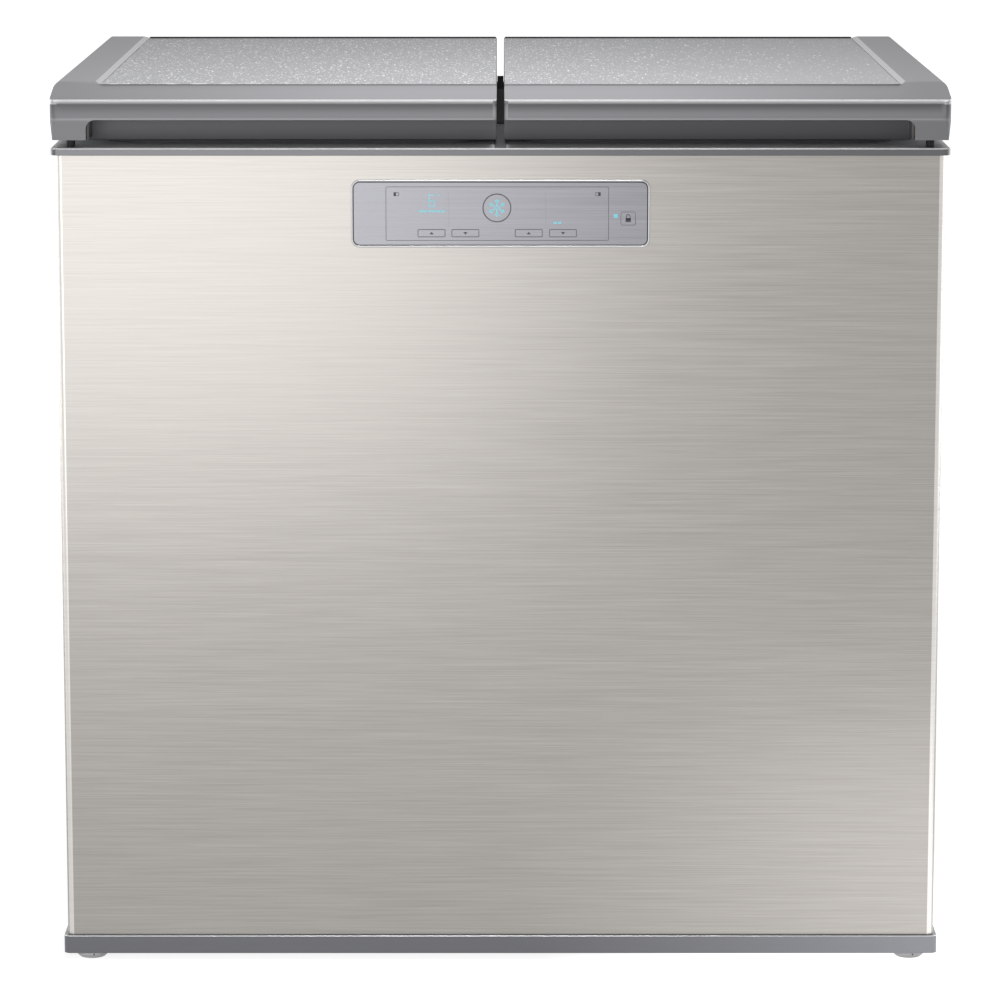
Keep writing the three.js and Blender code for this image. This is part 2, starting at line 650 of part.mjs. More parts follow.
function compressor() {
  const [r, skirt] = [COMPRESSOR_R, deckZ + COMPRESSOR_SKIRT];
  const top = deckZ + COMPRESSOR_HEIGHT;
  const dome = r / 2;
  const profile = [[0, skirt - COMPRESSOR_PLATE / 2]];
  for (let k = -3; k <= 3; k += 1) {
    const angle = (k * Math.PI) / 8;
    const level = k < 0 ? skirt + dome : top - dome;
    if (k === 0) profile.push([r, skirt + dome]);
    profile.push([r * Math.cos(angle), level + dome * Math.sin(angle)]);
  }
  profile.push([0, top]);
  const [x, y] = [compressorX, machineY];
  const [dx, dy] = [r + COMPRESSOR_SKIRT, r - COMPRESSOR_SKIRT];
  const plate = box([x - dx, x + dx], [y - dy, y + dy], [skirt - COMPRESSOR_PLATE, skirt]);
  let made = turned(profile, x, y, 28).add(plate);
  for (const [sx, sy] of [[-1, -1], [-1, 1], [1, -1], [1, 1]]) {
    const centre = [x + sx * (dx - COMPRESSOR_SKIRT), y + sy * (dy - COMPRESSOR_SKIRT), 0];
    made = made.add(bar("z", COMPRESSOR_SKIRT * 0.8, deckZ, skirt - COMPRESSOR_PLATE / 2, centre, 12));
  }
  return piece("compressor", made, "blackSteel");
}

function fan() {
  const group = new THREE.Group();
  const axle = [0, machineY, fanZ];
  const armWidth = 3 * SHROUD_THICK;
  const x1 = SHROUD_X + SHROUD_THICK;

  const plate = [SHROUD_X, x1];
  const armLength = 2 * (FAN_R + FAN_GAP) + armWidth;
  const shroud = box(plate, span(machineY, SHROUD_SIZE), [deckZ, deckZ + SHROUD_SIZE])
    .subtract(bar("x", FAN_R + FAN_GAP, SHROUD_X - BEYOND, x1 + BEYOND, axle, 32))
    .add(bar("x", MOTOR_R, ...plate, axle))
    .add(box(plate, span(machineY, armWidth), span(fanZ, armLength)))
    .add(box(plate, span(machineY, armLength), span(fanZ, armWidth)))
    .subtract(bore("x", FAN_SHAFT_R, SHROUD_X - BEYOND, x1 + BEYOND, axle, 1));
  group.add(piece("fan_shroud", shroud, "darkPlastic"));

  const pitch = THREE.MathUtils.degToRad(FAN_PITCH);
  const fanX = SHROUD_X - FAN_CLEARANCE - (FAN_CHORD / 2) * Math.sin(pitch) - BLADE_THICK / 2;
  const hub = [fanX - FAN_HUB_R / 2, fanX + FAN_HUB_R / 2];
  const start = x1 + SEAT;
  const shaft = bar("x", FAN_SHAFT_R, hub[0], start + 1, axle, 16);
  const motor = bar("x", MOTOR_R, start, start + MOTOR_LENGTH, axle).add(shaft);
  group.add(piece("fan_motor", motor, "blackSteel"));

  let blades = bar("x", FAN_HUB_R, ...hub, axle);
  for (let k = 0; k < FAN_BLADES; k += 1) {
    const blade = new THREE.BoxGeometry(BLADE_THICK, FAN_R - FAN_HUB_R / 2, FAN_CHORD);
    blade.translate(0, (FAN_R + FAN_HUB_R / 2) / 2, 0);
    blade.rotateY(pitch);
    blade.rotateX((2 * Math.PI * k) / FAN_BLADES);
    blade.translate(fanX, machineY, fanZ);
    blades = blades.add(toSolid(blade));
  }
  blades = blades.subtract(bore("x", FAN_SHAFT_R, hub[0] - BEYOND, hub[1] + BEYOND, axle, SEAT, 16));
  group.add(piece("fan_blade", blades, "palePlastic"));
  return group;
}

function condenser() {
  const x1 = CONDENSER_X + CONDENSER_LENGTH;
  const coreLevels = span(deckZ + CONDENSER_HEIGHT / 2, FIN_CORE);
  let block = box([CONDENSER_X, x1], span(machineY, CONDENSER_DEPTH - 2 * FIN_THICK), coreLevels);
  const pitch = (CONDENSER_LENGTH - FIN_THICK) / (CONDENSER_FINS - 1);
  const finSides = [span(machineY, CONDENSER_DEPTH), [deckZ, deckZ + CONDENSER_HEIGHT]];
  for (let k = 0; k < CONDENSER_FINS; k += 1) {
    const x = CONDENSER_X + k * pitch;
    block = block.add(box([x, x + FIN_THICK], ...finSides));
  }
  return piece("condenser", block, "zincSteel");
}

// ---------------------------------------------------------------- lids
const plugBottom = frameTop - PLUG_DEPTH;
const lidFloor = lidBottom + LID_WALL;
const cavityTop = panelLevel - PANEL_THICK - LID_WALL;
const gripBack = lidFront + GRIP_DEPTH + GRIP_WALL + SEAT; // front face of what lies behind the grip
const gripX = lidOuter + GRIP_END;
const pocketFront = hingeY - HINGE_REACH - 2;
const lidMiddle = (lidOuter + lidInner) / 2;
const hingePlaces = [lidMiddle - HINGE_SPACING / 2, lidMiddle + HINGE_SPACING / 2];

/** The outline of the lid's plug from above, drawn in by an inset. */
const plugOutline = (inset) => wellOutline(-PLUG_CLEARANCE - inset);

/** The lid's outer form, drawn in by an inset, up to a top level: its three outlines as crossed prisms. */
function lidForm(inset, top, bottom) {
  const [x0, x1] = [lidOuter + inset, lidInner - inset];
  const [y0, y1] = [lidFront + inset, lidBack - inset];
  const r = LID_EDGE_R;
  const crease = HEIGHT - CREASE_DROP - inset;
  const sideView = outline([
    [y0 + LID_DRAFT, bottom],
    [y0, gripTop],
    [y0, crease, LID_CREASE_R],
    [lidFront + BAND_LENGTH, top, LID_BROW_R],
    [y1, top, r],
    [y1, bottom],
  ]);
  const outerSide = [[x0 + LID_DRAFT, bottom], [x0, gripTop], [x0, top, r]];
  const frontView = outline([...outerSide, [x1, top], [x1, bottom]]);
  const plan = outline([[x0, y0, LID_CORNER_R], [x1, y0], [x1, y1], [x0, y1, r]]);
  return prism(sideView, "x", x0 - BEYOND, x1 + BEYOND)
    .intersect(prism(frontView, "y", y0 - BEYOND, y1 + BEYOND))
    .intersect(prism(plan, "z", bottom - BEYOND, top + BEYOND));
}

/** The hollow that the grip moulding fills, grown by a margin. */
function gripHollow(margin) {
  const top = gripTop + GRIP_ROOM + GRIP_WALL + margin;
  const behindLip = [lidFront + GRIP_LIP, gripBack + margin];
  const room = box([gripX - margin, lidInner + BEYOND], behindLip, [lidBottom - 2 * BEYOND, top]);
  const mouth = outline([
    [gripX, lidBottom - BEYOND],
    [lidInner + BEYOND, lidBottom - BEYOND],
    [lidInner + BEYOND, gripTop],
    [gripX, gripTop, GRIP_NOTCH_R],
  ]);
  return room.add(prism(mouth, "y", lidFront - BEYOND, lidFront + GRIP_LIP + 1));
}

/** The pockets over the hinges, open below and behind, grown by a margin. */
function hingePockets(margin) {
  const half = HINGE_WIDTH / 2 + 1 + margin;
  const high = hingeZ + POCKET_RISE + margin;
  const [left, right] = hingePlaces.map((x) =>
    box([x - half, x + half], [pocketFront - margin, lidBack + BEYOND], [lidBottom - BEYOND, high]),
  );
  return left.add(right);
}

function lidCover(side) {
  const form = lidForm(0, HEIGHT, lidBottom);
  const floor = [lidBottom - BEYOND, lidFloor];
  const rearFloor = box([lidOuter, lidInner], [pocketFront - LID_WALL, lidBack], floor);
  const cornerFloor = box([lidOuter, gripX], [lidFront, gripBack], floor);
  const cavity = lidForm(LID_WALL, cavityTop, lidBottom - BEYOND)
    .subtract(rearFloor)
    .subtract(cornerFloor)
    .subtract(hingePockets(LID_WALL));
  const bevelStart = lidOuter + SIDE_BAND;
  const sunk = outline([
    [bevelStart, HEIGHT],
    [bevelStart + BEVEL, panelLevel],
    [lidInner + BEYOND, panelLevel],
    [lidInner + BEYOND, HEIGHT + BEYOND],
    [bevelStart, HEIGHT + BEYOND],
  ]);
  const made = form
    .subtract(cavity)
    .subtract(hingePockets(0))
    .subtract(gripHollow(0))
    .subtract(prism(sunk, "y", lidFront - BEYOND, lidBack + BEYOND))
    .subtract(panelBed(0));
  return piece(`lid_cover_${side}`, made, "greyPlastic");
}

/** The bed of the deco panel, or with an inset the panel itself. */
function panelBed(inset) {
  const x0 = lidOuter + SIDE_BAND + BEVEL + inset;
  const x1 = inset ? lidInner - inset : lidInner + BEYOND;
  const top = inset ? panelLevel : panelLevel + BEYOND;
  const [y0, y1] = [lidFront + PANEL_FRONT + inset, lidBack - PANEL_BACK - inset];
  const backR = LID_EDGE_R / 2;
  const plan = outline([[x0, y0], [x1, y0], [x1, y1, backR], [x0, y1, backR]]);
  return prism(plan, "z", panelLevel - PANEL_THICK + inset, top);
}

function gripMoulding(side) {
  const [x0, x1] = [gripX + SEAT, lidInner - SEAT];
  const [y0, y1] = [lidFront + GRIP_LIP + SEAT, gripBack - SEAT];
  const top = gripTop + GRIP_ROOM + GRIP_WALL - SEAT;
  const low = lidBottom - GRIP_SKIRT;
  const shell = box([x0, x1], [y0, y1], [low, top]);
  const fingerDepth = [y0 - BEYOND, y1 - GRIP_WALL];
  const room = box([x0 + GRIP_WALL, x1 + BEYOND], fingerDepth, [low - BEYOND, top - GRIP_WALL]);
  const underEnd = box([x0 - BEYOND, x0 + 2 * GRIP_WALL], fingerDepth, [low - BEYOND, lidBottom]);
  return piece(`lid_grip_${side}`, shell.subtract(room).subtract(underEnd), "darkPlastic");
}

function lidFoam(side) {
  const low = lidFloor + SEAT;
  const made = lidForm(LID_WALL + SEAT, cavityTop - SEAT, low)
    .subtract(hingePockets(LID_WALL + SEAT))
    .subtract(gripHollow(SEAT))
    .add(prism(plugOutline(LINER + SEAT), "z", plugBottom + LINER + SEAT, low + 1));
  return piece(`lid_foam_${side}`, made, "foam");
}

function lidLiner(side) {
  const inset = LID_WALL + LID_DRAFT + SEAT;
  const sheet = box(
    [lidOuter + inset, lidInner - LID_WALL - SEAT],
    [gripBack + SEAT, pocketFront - LID_WALL - SEAT],
    [lidBottom + SEAT, lidFloor],
  );
  const made = sheet
    .add(prism(plugOutline(0), "z", plugBottom, lidBottom + 1))
    .subtract(prism(plugOutline(LINER), "z", plugBottom + LINER, lidFloor + BEYOND));
  return piece(`lid_liner_${side}`, made, "liner");
}

function lidGasket(side) {
  const ring = (grow) => wellOutline(GASKET_OFFSET + grow);
  const [z0, z1] = [frameTop + SEAT, lidBottom];
  const grooveLevels = span((z0 + z1) / 2, BELLOWS);
  const groove = prism(ring(GASKET_WIDTH + BEYOND), "z", ...grooveLevels);
  const made = prism(ring(GASKET_WIDTH), "z", z0, z1)
    .subtract(groove.subtract(prism(ring(GASKET_WIDTH - BELLOWS), "z", z0, z1)))
    .subtract(prism(ring(0), "z", z0 - BEYOND, z1 + BEYOND));
  return piece(`lid_gasket_${side}`, made, "gasket");
}

function lidBumper(side) {
  const cx = lidOuter + BUMPER_SIDE + BUMPER_WIDTH / 2;
  const cy = lidFront + BUMPER_FRONT + BUMPER_LENGTH / 2;
  const plan = roundRect(cx, cy, BUMPER_WIDTH, BUMPER_LENGTH, BUMPER_WIDTH / 3);
  return piece(`lid_bumper_${side}`, prism(plan, "z", frameTop + SEAT, lidBottom - SEAT), "rubber");
}

const hingeDepth = [hingeY - HINGE_REACH, hingeY + HINGE_HEEL];

function hingeBase(side, number, cx) {
  const centre = [cx, hingeY, hingeZ];
  const low = frameTop + SEAT;
  const made = box(span(cx, HINGE_WIDTH), hingeDepth, [low, low + HINGE_PLATE])
    .add(box(span(cx, KNUCKLE_WIDTH), span(hingeY, 2 * KNUCKLE_R - 2), [low, hingeZ]))
    .add(bar("x", KNUCKLE_R, ...span(cx, KNUCKLE_WIDTH), centre))
    .subtract(bore("x", PIN_R, ...span(cx, 2 * KNUCKLE_WIDTH), centre));
  return piece(`hinge_base_${side}_${number}`, made, "zincSteel");
}

function hingeLeaf(side, number, cx) {
  const centre = [cx, hingeY, hingeZ];
  const top = hingeZ + POCKET_RISE - SEAT;
  const lug = (KNUCKLE_WIDTH + LUG_WIDTH) / 2 + 2 * SEAT; // hinge's middle to a lug's
  let made = box(span(cx, HINGE_WIDTH), hingeDepth, [top - HINGE_PLATE, top]);
  for (const x of [cx - lug, cx + lug]) {
    const web = box(span(x, LUG_WIDTH), span(hingeY, 2 * KNUCKLE_R - 2), [hingeZ, top - HINGE_PLATE / 2]);
    made = made.add(bar("x", KNUCKLE_R, ...span(x, LUG_WIDTH), centre)).add(web);
  }
  made = made.add(bar("x", PIN_R, ...span(cx, 2 * lug), centre));
  return piece(`hinge_leaf_${side}_${number}`, made, "zincSteel");
}

function lid(side) {
  const group = new THREE.Group();
  const decoPanel = piece(`lid_deco_panel_${side}`, panelBed(SEAT), "decoPanel");
  group.add(lidCover(side), decoPanel, gripMoulding(side));
  group.add(lidFoam(side), lidLiner(side), lidGasket(side), lidBumper(side));
  hingePlaces.forEach((x, i) => group.add(hingeBase(side, i + 1, x), hingeLeaf(side, i + 1, x)));
  return group;
}

// ---------------------------------------------------------------- kimchi containers
const containerWidth = wellWidth - 2 * CONTAINER_GAP;
const containerLength = (wellLength - 3 * CONTAINER_GAP) / 2;
const containerHeight = (plugBottom - wellFloor - CONTAINER_ROOM) / 2 - SEAT;

/** A container's outline from above, grown or drawn in all round. */
const containerOutline = (cy, grow) =>
  roundRect(-wellX, cy, containerWidth + 2 * grow, containerLength + 2 * grow, CONTAINER_R + grow);

function container(name, cy, floor) {
  const top = floor + containerHeight;
  const rim = top - CAP_PLATE - SEAT;
  const tubForm = (inset, low, high) => {
    const size = [containerWidth - 2 * inset, containerLength - 2 * inset, CONTAINER_R - inset];
    return tapered(-wellX, cy, ...size, low, high, CONTAINER_TAPER);
  };
  const skirt = CAP_SKIRT + SEAT;
  const room = tubForm(skirt + CONTAINER_WALL, floor + CONTAINER_WALL, rim + 1);
  const tub = tubForm(skirt, floor, rim).subtract(room);

  const dish = containerOutline(cy, -CAP_BRIM);
  const cap = prism(containerOutline(cy, 0), "z", top - CAP_HEIGHT, top)
    .subtract(prism(containerOutline(cy, -CAP_SKIRT), "z", top - CAP_HEIGHT - BEYOND, top - CAP_PLATE))
    .subtract(prism(dish, "z", top - CAP_DISH, top + BEYOND));
  return new THREE.Group().add(piece(`${name}_tub`, tub, "tub"), piece(`${name}_cap`, cap, "cap"));
}

function containers() {
  const group = new THREE.Group();
  const middle = (containerLength + CONTAINER_GAP) / 2;
  const levels = { lower: wellFloor + SEAT, upper: wellFloor + 2 * SEAT + containerHeight };
  for (const [level, floor] of Object.entries(levels)) {
    group.add(container(`container_${level}_front`, -middle, floor));
    group.add(container(`container_${level}_back`, middle, floor));
  }
  return group;
}

// ---------------------------------------------------------------- whole refrigerator
const refrigerator = new THREE.Group();
refrigerator.name = "kimchi_refrigerator";
refrigerator.add(frontPanel(), bothSides(sidePanel), backPanel(), machineCover(), cordGland());
refrigerator.add(topFrame(), baseTrim(), controlPanel());
refrigerator.add(foamBody(), bothSides(tank), bothSides(evaporator));
refrigerator.add(basePan(), bothSides(foot), bothSides(caster), compressor(), fan(), condenser());
refrigerator.add(bothSides(lid), containers());

export default refrigerator;
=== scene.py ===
"""The looks of a two-well kimchi refrigerator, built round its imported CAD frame. Metres, +Z up, front to -Y."""
import json
import math

import bmesh
import bpy
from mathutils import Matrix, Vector

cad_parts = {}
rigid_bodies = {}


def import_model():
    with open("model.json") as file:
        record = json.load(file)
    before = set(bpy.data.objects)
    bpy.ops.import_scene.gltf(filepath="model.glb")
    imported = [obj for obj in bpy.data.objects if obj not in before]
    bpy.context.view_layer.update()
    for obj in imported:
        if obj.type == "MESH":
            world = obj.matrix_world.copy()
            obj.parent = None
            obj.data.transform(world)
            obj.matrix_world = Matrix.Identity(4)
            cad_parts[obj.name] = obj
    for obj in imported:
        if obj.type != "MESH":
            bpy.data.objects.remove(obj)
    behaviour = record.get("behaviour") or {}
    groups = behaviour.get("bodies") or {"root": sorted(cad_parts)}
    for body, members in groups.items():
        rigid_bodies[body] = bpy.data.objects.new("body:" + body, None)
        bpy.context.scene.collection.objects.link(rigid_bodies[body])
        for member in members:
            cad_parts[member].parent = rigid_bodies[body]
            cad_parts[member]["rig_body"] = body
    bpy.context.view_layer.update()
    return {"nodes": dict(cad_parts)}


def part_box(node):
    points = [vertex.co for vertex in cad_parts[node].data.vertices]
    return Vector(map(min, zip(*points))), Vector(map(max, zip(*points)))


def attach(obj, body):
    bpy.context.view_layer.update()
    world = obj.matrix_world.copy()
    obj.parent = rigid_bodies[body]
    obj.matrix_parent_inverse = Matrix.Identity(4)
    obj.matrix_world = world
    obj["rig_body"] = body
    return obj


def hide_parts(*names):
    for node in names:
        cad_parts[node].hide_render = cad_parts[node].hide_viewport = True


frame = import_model()
nodes = frame["nodes"]
MM = 0.001
SIDES = {"left": -1, "right": 1}


# ---------------------------------------------------------------- materials
class Finish:
    """One material: a Principled shader and the procedural nodes that feed it."""

    def __init__(self, name, colour, rough, metallic=0.0, **sockets):
        self.material = bpy.data.materials.new(name)
        self.material.use_nodes = True
        self.tree = self.material.node_tree
        self.shader = self.tree.nodes["Principled BSDF"]
        self.colour = (*colour, 1)
        self.rough = rough
        self.shader.inputs["Base Color"].default_value = self.colour
        self.shader.inputs["Roughness"].default_value = rough
        self.shader.inputs["Metallic"].default_value = metallic
        for socket, value in sockets.items():
            self.shader.inputs[socket.replace("_", " ")].default_value = value
        self.place = self.node("ShaderNodeTexCoord").outputs["Object"]

    def node(self, kind, inputs=None, **settings):
        made = self.tree.nodes.new(kind)
        for key, value in settings.items():
            setattr(made, key, value)
        for key, value in (inputs or {}).items():
            if isinstance(value, bpy.types.NodeSocket):
                self.tree.links.new(value, made.inputs[key])
            else:
                made.inputs[key].default_value = value
        return made

    def scaled(self, scale):
        """The place on the piece, stretched by a scale along each axis."""
        return self.node("ShaderNodeMapping", {"Vector": self.place, "Scale": scale}).outputs[0]

    def noise(self, scale, detail=3.0, softness=0.5):
        inputs = {"Vector": self.scaled(scale), "Scale": 1.0, "Detail": detail, "Roughness": softness}
        return self.node("ShaderNodeTexNoise", inputs).outputs[0]

    def cells(self, scale):
        return self.node("ShaderNodeTexVoronoi", {"Vector": self.scaled(scale), "Scale": 1.0})

    def spread(self, value, low, high, from_low=0.0, from_high=1.0):
        inputs = {0: value, 1: from_low, 2: from_high, 3: low, 4: high}
        return self.node("ShaderNodeMapRange", inputs).outputs[0]

    def maths(self, operation, a, b):
        return self.node("ShaderNodeMath", {0: a, 1: b}, operation=operation).outputs[0]

    def mixed(self, factor, a, b):
        """A blend of two colours, each a tuple or a socket."""
        made = self.node("ShaderNodeMix", data_type="RGBA")
        for slot, value in ((0, factor), (6, a), (7, b)):
            if isinstance(value, bpy.types.NodeSocket):
                self.tree.links.new(value, made.inputs[slot])
            else:
                made.inputs[slot].default_value = value if slot == 0 else (*value[:3], 1)
        return made.outputs[2]

    def shaded(self, factor, amount):
        """The finish's own colour, lighter and darker by an amount as the factor goes from 0 to 1."""
        dark = [c * (1 - amount) for c in self.colour[:3]]
        light = [min(1.0, c * (1 + amount)) for c in self.colour[:3]]
        return self.mixed(factor, dark, light)

    def set(self, socket, value):
        self.tree.links.new(value, self.shader.inputs[socket])
        return self

    def bump(self, height, distance, strength=1.0):
        inputs = {"Height": height, "Distance": distance, "Strength": strength}
        return self.set("Normal", self.node("ShaderNodeBump", inputs).outputs[0])


def moulded(name, colour, rough, grain=900.0, depth=0.00004, tone=0.03, **sockets):
    """Moulded or painted plastic: a fine spark-eroded grain, and slow changes of tone and gloss."""
    made = Finish(name, colour, rough, **sockets)
    fine = made.noise((grain, grain, grain), 2.0)
    slow = made.noise((9, 9, 9), 2.0)
    made.set("Base Color", made.shaded(slow, tone))
    made.set("Roughness", made.spread(fine, rough - 0.05, rough + 0.06))
    return made.bump(fine, depth)


def brushed(name, colour, rough, stretch, tone=0.07, depth=0.00002, fine=0.65, gloss=0.07, **sockets):
    """Metal brushed along one axis: long scratches, with a given share, laid over broader bands."""
    made = Finish(name, colour, rough, 1.0, **sockets)
    scratches = made.noise(stretch, 4.0, 0.62)
    bands = made.noise([s * 0.22 for s in stretch], 2.0)
    both = made.maths("ADD", made.maths("MULTIPLY", scratches, fine), made.maths("MULTIPLY", bands, 1 - fine))
    made.set("Base Color", made.shaded(made.spread(both, 0.0, 1.0, 0.3, 0.7), tone))
    made.set("Roughness", made.spread(both, rough - gloss, rough + gloss, 0.3, 0.7))
    return made.bump(both, depth)


def sheet_steel(name, colour, rough, metallic, spangle, tone):
    """Zinc-coated or painted sheet: crystals or specks of slightly different grey."""
    made = Finish(name, colour, rough, metallic)
    patch = made.cells((spangle, spangle, spangle)).outputs["Color"]
    fine = made.noise((700, 700, 700), 2.0)
    made.set("Base Color", made.shaded(patch, tone))
    made.set("Roughness", made.spread(fine, rough - 0.05, rough + 0.08))
    return made.bump(fine, 0.00003)


# cells a metre along each axis, and the largest flake as a share of a cell
FLAKE_LAYERS = (((340, 125, 340), 0.42), ((190, 68, 190), 0.23), ((600, 220, 600), 0.44))
FLAKE_WHITE = (0.93, 0.94, 0.96)


def speckled():
    """The lids' deco panels: pearl grey with flakes. The flakes thin out towards the right as painted light,
    and white dashes along the left panel's front edge are a painted glint."""
    made = Finish("pearl_flakes_and_glints", (0.37, 0.372, 0.382), 0.6, Specular_IOR_Level=0.12)
    across, along = made.node("ShaderNodeSeparateXYZ", {0: made.place}).outputs[:2]
    # Flakes grow rarer towards the right: painted light, the sparkle fading where less light falls.
    sparkle_falloff = made.spread(across, 0.44, 0.93, -0.04, 0.42)
    total = None
    for scale, size in FLAKE_LAYERS:
        cell = made.cells(scale)
        pick = made.node("ShaderNodeSeparateColor", {0: cell.outputs["Color"]})
        radius = made.maths("MULTIPLY", pick.outputs[1], size)
        inside = made.maths("LESS_THAN", cell.outputs["Distance"], radius)
        kept = made.maths("GREATER_THAN", pick.outputs[0], sparkle_falloff)
        flake = made.maths("MULTIPLY", made.maths("MULTIPLY", inside, kept), made.spread(pick.outputs[2], 0.15, 1.0))
        total = flake if total is None else made.maths("MAXIMUM", total, flake)
    # White dashes along the left panel's front edge: a painted glint.
    front, left = made.spread(along, 1.0, 0.0, -0.3035, -0.3000), made.spread(across, 1.0, 0.0, -0.27, -0.2)
    edge = made.maths("MULTIPLY", front, left)
    glint_dashes = made.spread(made.noise((60, 1, 1), 2.0, 0.6), 0.0, 0.9, 0.46, 0.56)
    total = made.maths("MAXIMUM", total, made.maths("MULTIPLY", edge, glint_dashes))
    cloud = made.noise((60, 30, 60), 4.0, 0.7)
    made.set("Base Color", made.mixed(total, made.shaded(cloud, 0.12), FLAKE_WHITE))
    made.set("Roughness", made.spread(cloud, 0.5, 0.68))
    return made.bump(made.maths("ADD", cloud, total), 0.00003)


def glowing(name, colour, strength):
    """Lit print behind the overlay."""
    made = Finish(name, colour, 0.5, Emission_Color=(*colour, 1), Emission_Strength=strength)
    made.set("Base Color", made.shaded(made.noise((2200, 2200, 2200), 1.0), 0.08))
    return made


def graded(name, colour, rough, axis, places, tones, **sockets):
    """Paint whose tone runs through the given values at the given places along an axis of the piece; each use here is
    painted light or shade.
    """
    made = Finish(name, colour, rough, **sockets)
    along = made.node("ShaderNodeSeparateXYZ", {0: made.place}).outputs[axis]
    tone = None
    for low, high, start, end in zip(places, places[1:], tones, tones[1:]):
        step = made.spread(along, start, end, low, high)
        tone = step if tone is None else made.maths("ADD", tone, made.maths("SUBTRACT", step, start))
    blend = made.node("ShaderNodeCombineColor", {0: tone, 1: tone, 2: tone}).outputs[0]
    tinted = made.node("ShaderNodeMix", {0: 1.0, 6: made.colour, 7: blend}, data_type="RGBA", blend_type="MULTIPLY")
    fine = made.noise((1500, 1500, 1500), 2.0)
    made.set("Base Color", tinted.outputs[2])
    made.set("Roughness", made.spread(fine, rough - 0.05, rough + 0.06))
    return made.bump(fine, 0.00001)


def foamed():
    """Cut foam: a blotchy tone and open bubbles."""
    made = Finish("polyurethane_foam", (0.83, 0.74, 0.47), 0.95)
    bubbles = made.cells((420, 420, 420)).outputs["Distance"]
    made.set("Base Color", made.shaded(made.noise((24, 24, 24), 4.0), 0.14))
    return made.bump(bubbles, 0.0006)


BRUSHED_STEEL = brushed("brushed_steel", (0.325, 0.309, 0.291), 0.34, (9, 60, 900), 0.12,
                        fine=0.85, gloss=0.035)
# Paler steel on the front panel's upright folds: a painted highlight.
STEEL_FOLD_HIGHLIGHT = brushed("steel_fold_highlight", (0.58, 0.56, 0.54), 0.34, (9, 60, 900), 0.06, gloss=0.035)
OVERLAY = brushed("brushed_overlay", (0.225, 0.225, 0.243), 0.36, (9, 60, 900), 0.17)
BRIGHT_TRIM = brushed("satin_trim", (0.42, 0.42, 0.43), 0.32, (12, 80, 300), 0.04)
PAINTED_STEEL = sheet_steel("painted_steel", (0.44, 0.43, 0.41), 0.42, 0.25, 900, 0.03)
ZINC_STEEL = sheet_steel("zinc_steel", (0.42, 0.43, 0.44), 0.4, 0.85, 95, 0.11)
# Lid paint, darker towards the lids' outer ends: painted shade where less light falls.
LID_PAINT_SHADED_ENDS = graded("silver_paint_shaded_ends", (0.26, 0.262, 0.275), 0.5, 0, (-0.44, -0.15, 0.15, 0.44), (0.72, 1.0, 1.0, 0.64),
                   Specular_IOR_Level=0.42)
# Lighter copy of the lid paint for the bevel beside the deco panel and the corner by the gap: a painted highlight.
EDGE_HIGHLIGHT = moulded("edge_highlight", (0.31, 0.312, 0.325), 0.34, 1500, 0.00001)
FRAME_PAINT = moulded("frame_paint", (0.12, 0.121, 0.127), 0.36, 1300, 0.00001, Metallic=0.9)
# Near-white top of the frame: partly pale plastic, made this pale as painted light to lift the shade under the lids.
FRAME_TOP_LIGHTENED = moulded("frame_top_lightened", (0.80, 0.802, 0.816), 0.45, 1300, 0.00001)
# Pale bevel along the frame's upper front edge: a painted highlight.
FRAME_EDGE_HIGHLIGHT = moulded("frame_edge_highlight", (0.70, 0.702, 0.715), 0.3, 1300, 0.00001)
# Pale paint along the lid's front crease: a painted highlight.
CREASE_HIGHLIGHT = moulded("crease_highlight", (0.69, 0.692, 0.702), 0.3, 1500, 0.00001)
# Lid paint in the cove: darker just under the crease as painted shade, lighter at the ridge as a painted highlight.
COVE_SHADE = graded("cove_shade", (0.26, 0.262, 0.275), 0.5, 2,
                    (0.889, 0.8915, 0.8935, 0.8965, 0.9062, 0.9085), (1.12, 1.5, 0.9, 0.84, 0.58, 1.2))
# Dark grey grip recess, darker towards its bottom as painted shade; the dark grey itself stands partly for the recess's
# shade.
GRIP_PLASTIC_SHADED = graded("grip_plastic_shaded", (0.15, 0.15, 0.163), 0.5, 2, (0.868, 0.872, 0.884, 0.892), (0.6, 0.72, 1.0, 1.08))
# Base trim paint, lighter towards the right: painted light where that side is more brightly lit.
TRIM_PAINT_SHADED = graded("trim_paint_shaded", (0.164, 0.167, 0.180), 0.4, 0, (-0.30, 0.05, 0.25, 0.45), (0.92, 0.92, 1.08, 1.35),
                    Metallic=0.7)
# Pale bevel along the base trim's upper front edge: a painted highlight.
TRIM_EDGE_HIGHLIGHT = brushed("trim_edge_highlight", (0.78, 0.78, 0.79), 0.3, (12, 80, 300), 0.03)
NYLON = moulded("white_nylon", (0.88, 0.88, 0.89), 0.4, 900, 0.00002)
DARK_PLASTIC = moulded("dark_plastic", (0.15, 0.15, 0.16), 0.5)
BLACK_PLASTIC = moulded("black_plastic", (0.03, 0.03, 0.032), 0.45)
PALE_PLASTIC = moulded("pale_plastic", (0.66, 0.67, 0.69), 0.42)
LINER_PLASTIC = moulded("liner_plastic", (0.72, 0.75, 0.77), 0.34, 1200, 0.00001)
TUB_PLASTIC = moulded("tub_plastic", (0.27, 0.28, 0.30), 0.38, 1100, 0.00002)
CAP_PLASTIC = moulded("cap_plastic", (0.50, 0.53, 0.55), 0.4, 1100, 0.00002)
TANK_METAL = brushed("tank_metal", (0.60, 0.61, 0.63), 0.33, (70, 70, 1.5), 0.05)
CONDENSER_METAL = brushed("condenser_metal", (0.45, 0.46, 0.47), 0.4, (40, 400, 40), 0.08)
COPPER = brushed("copper_tube", (0.72, 0.36, 0.2), 0.32, (200, 200, 500), 0.12)
COMPRESSOR_PAINT = moulded("compressor_paint", (0.02, 0.02, 0.022), 0.3, 300, 0.00012, 0.1)
RUBBER = moulded("rubber", (0.014, 0.014, 0.015), 0.75, 1600, 0.00005)
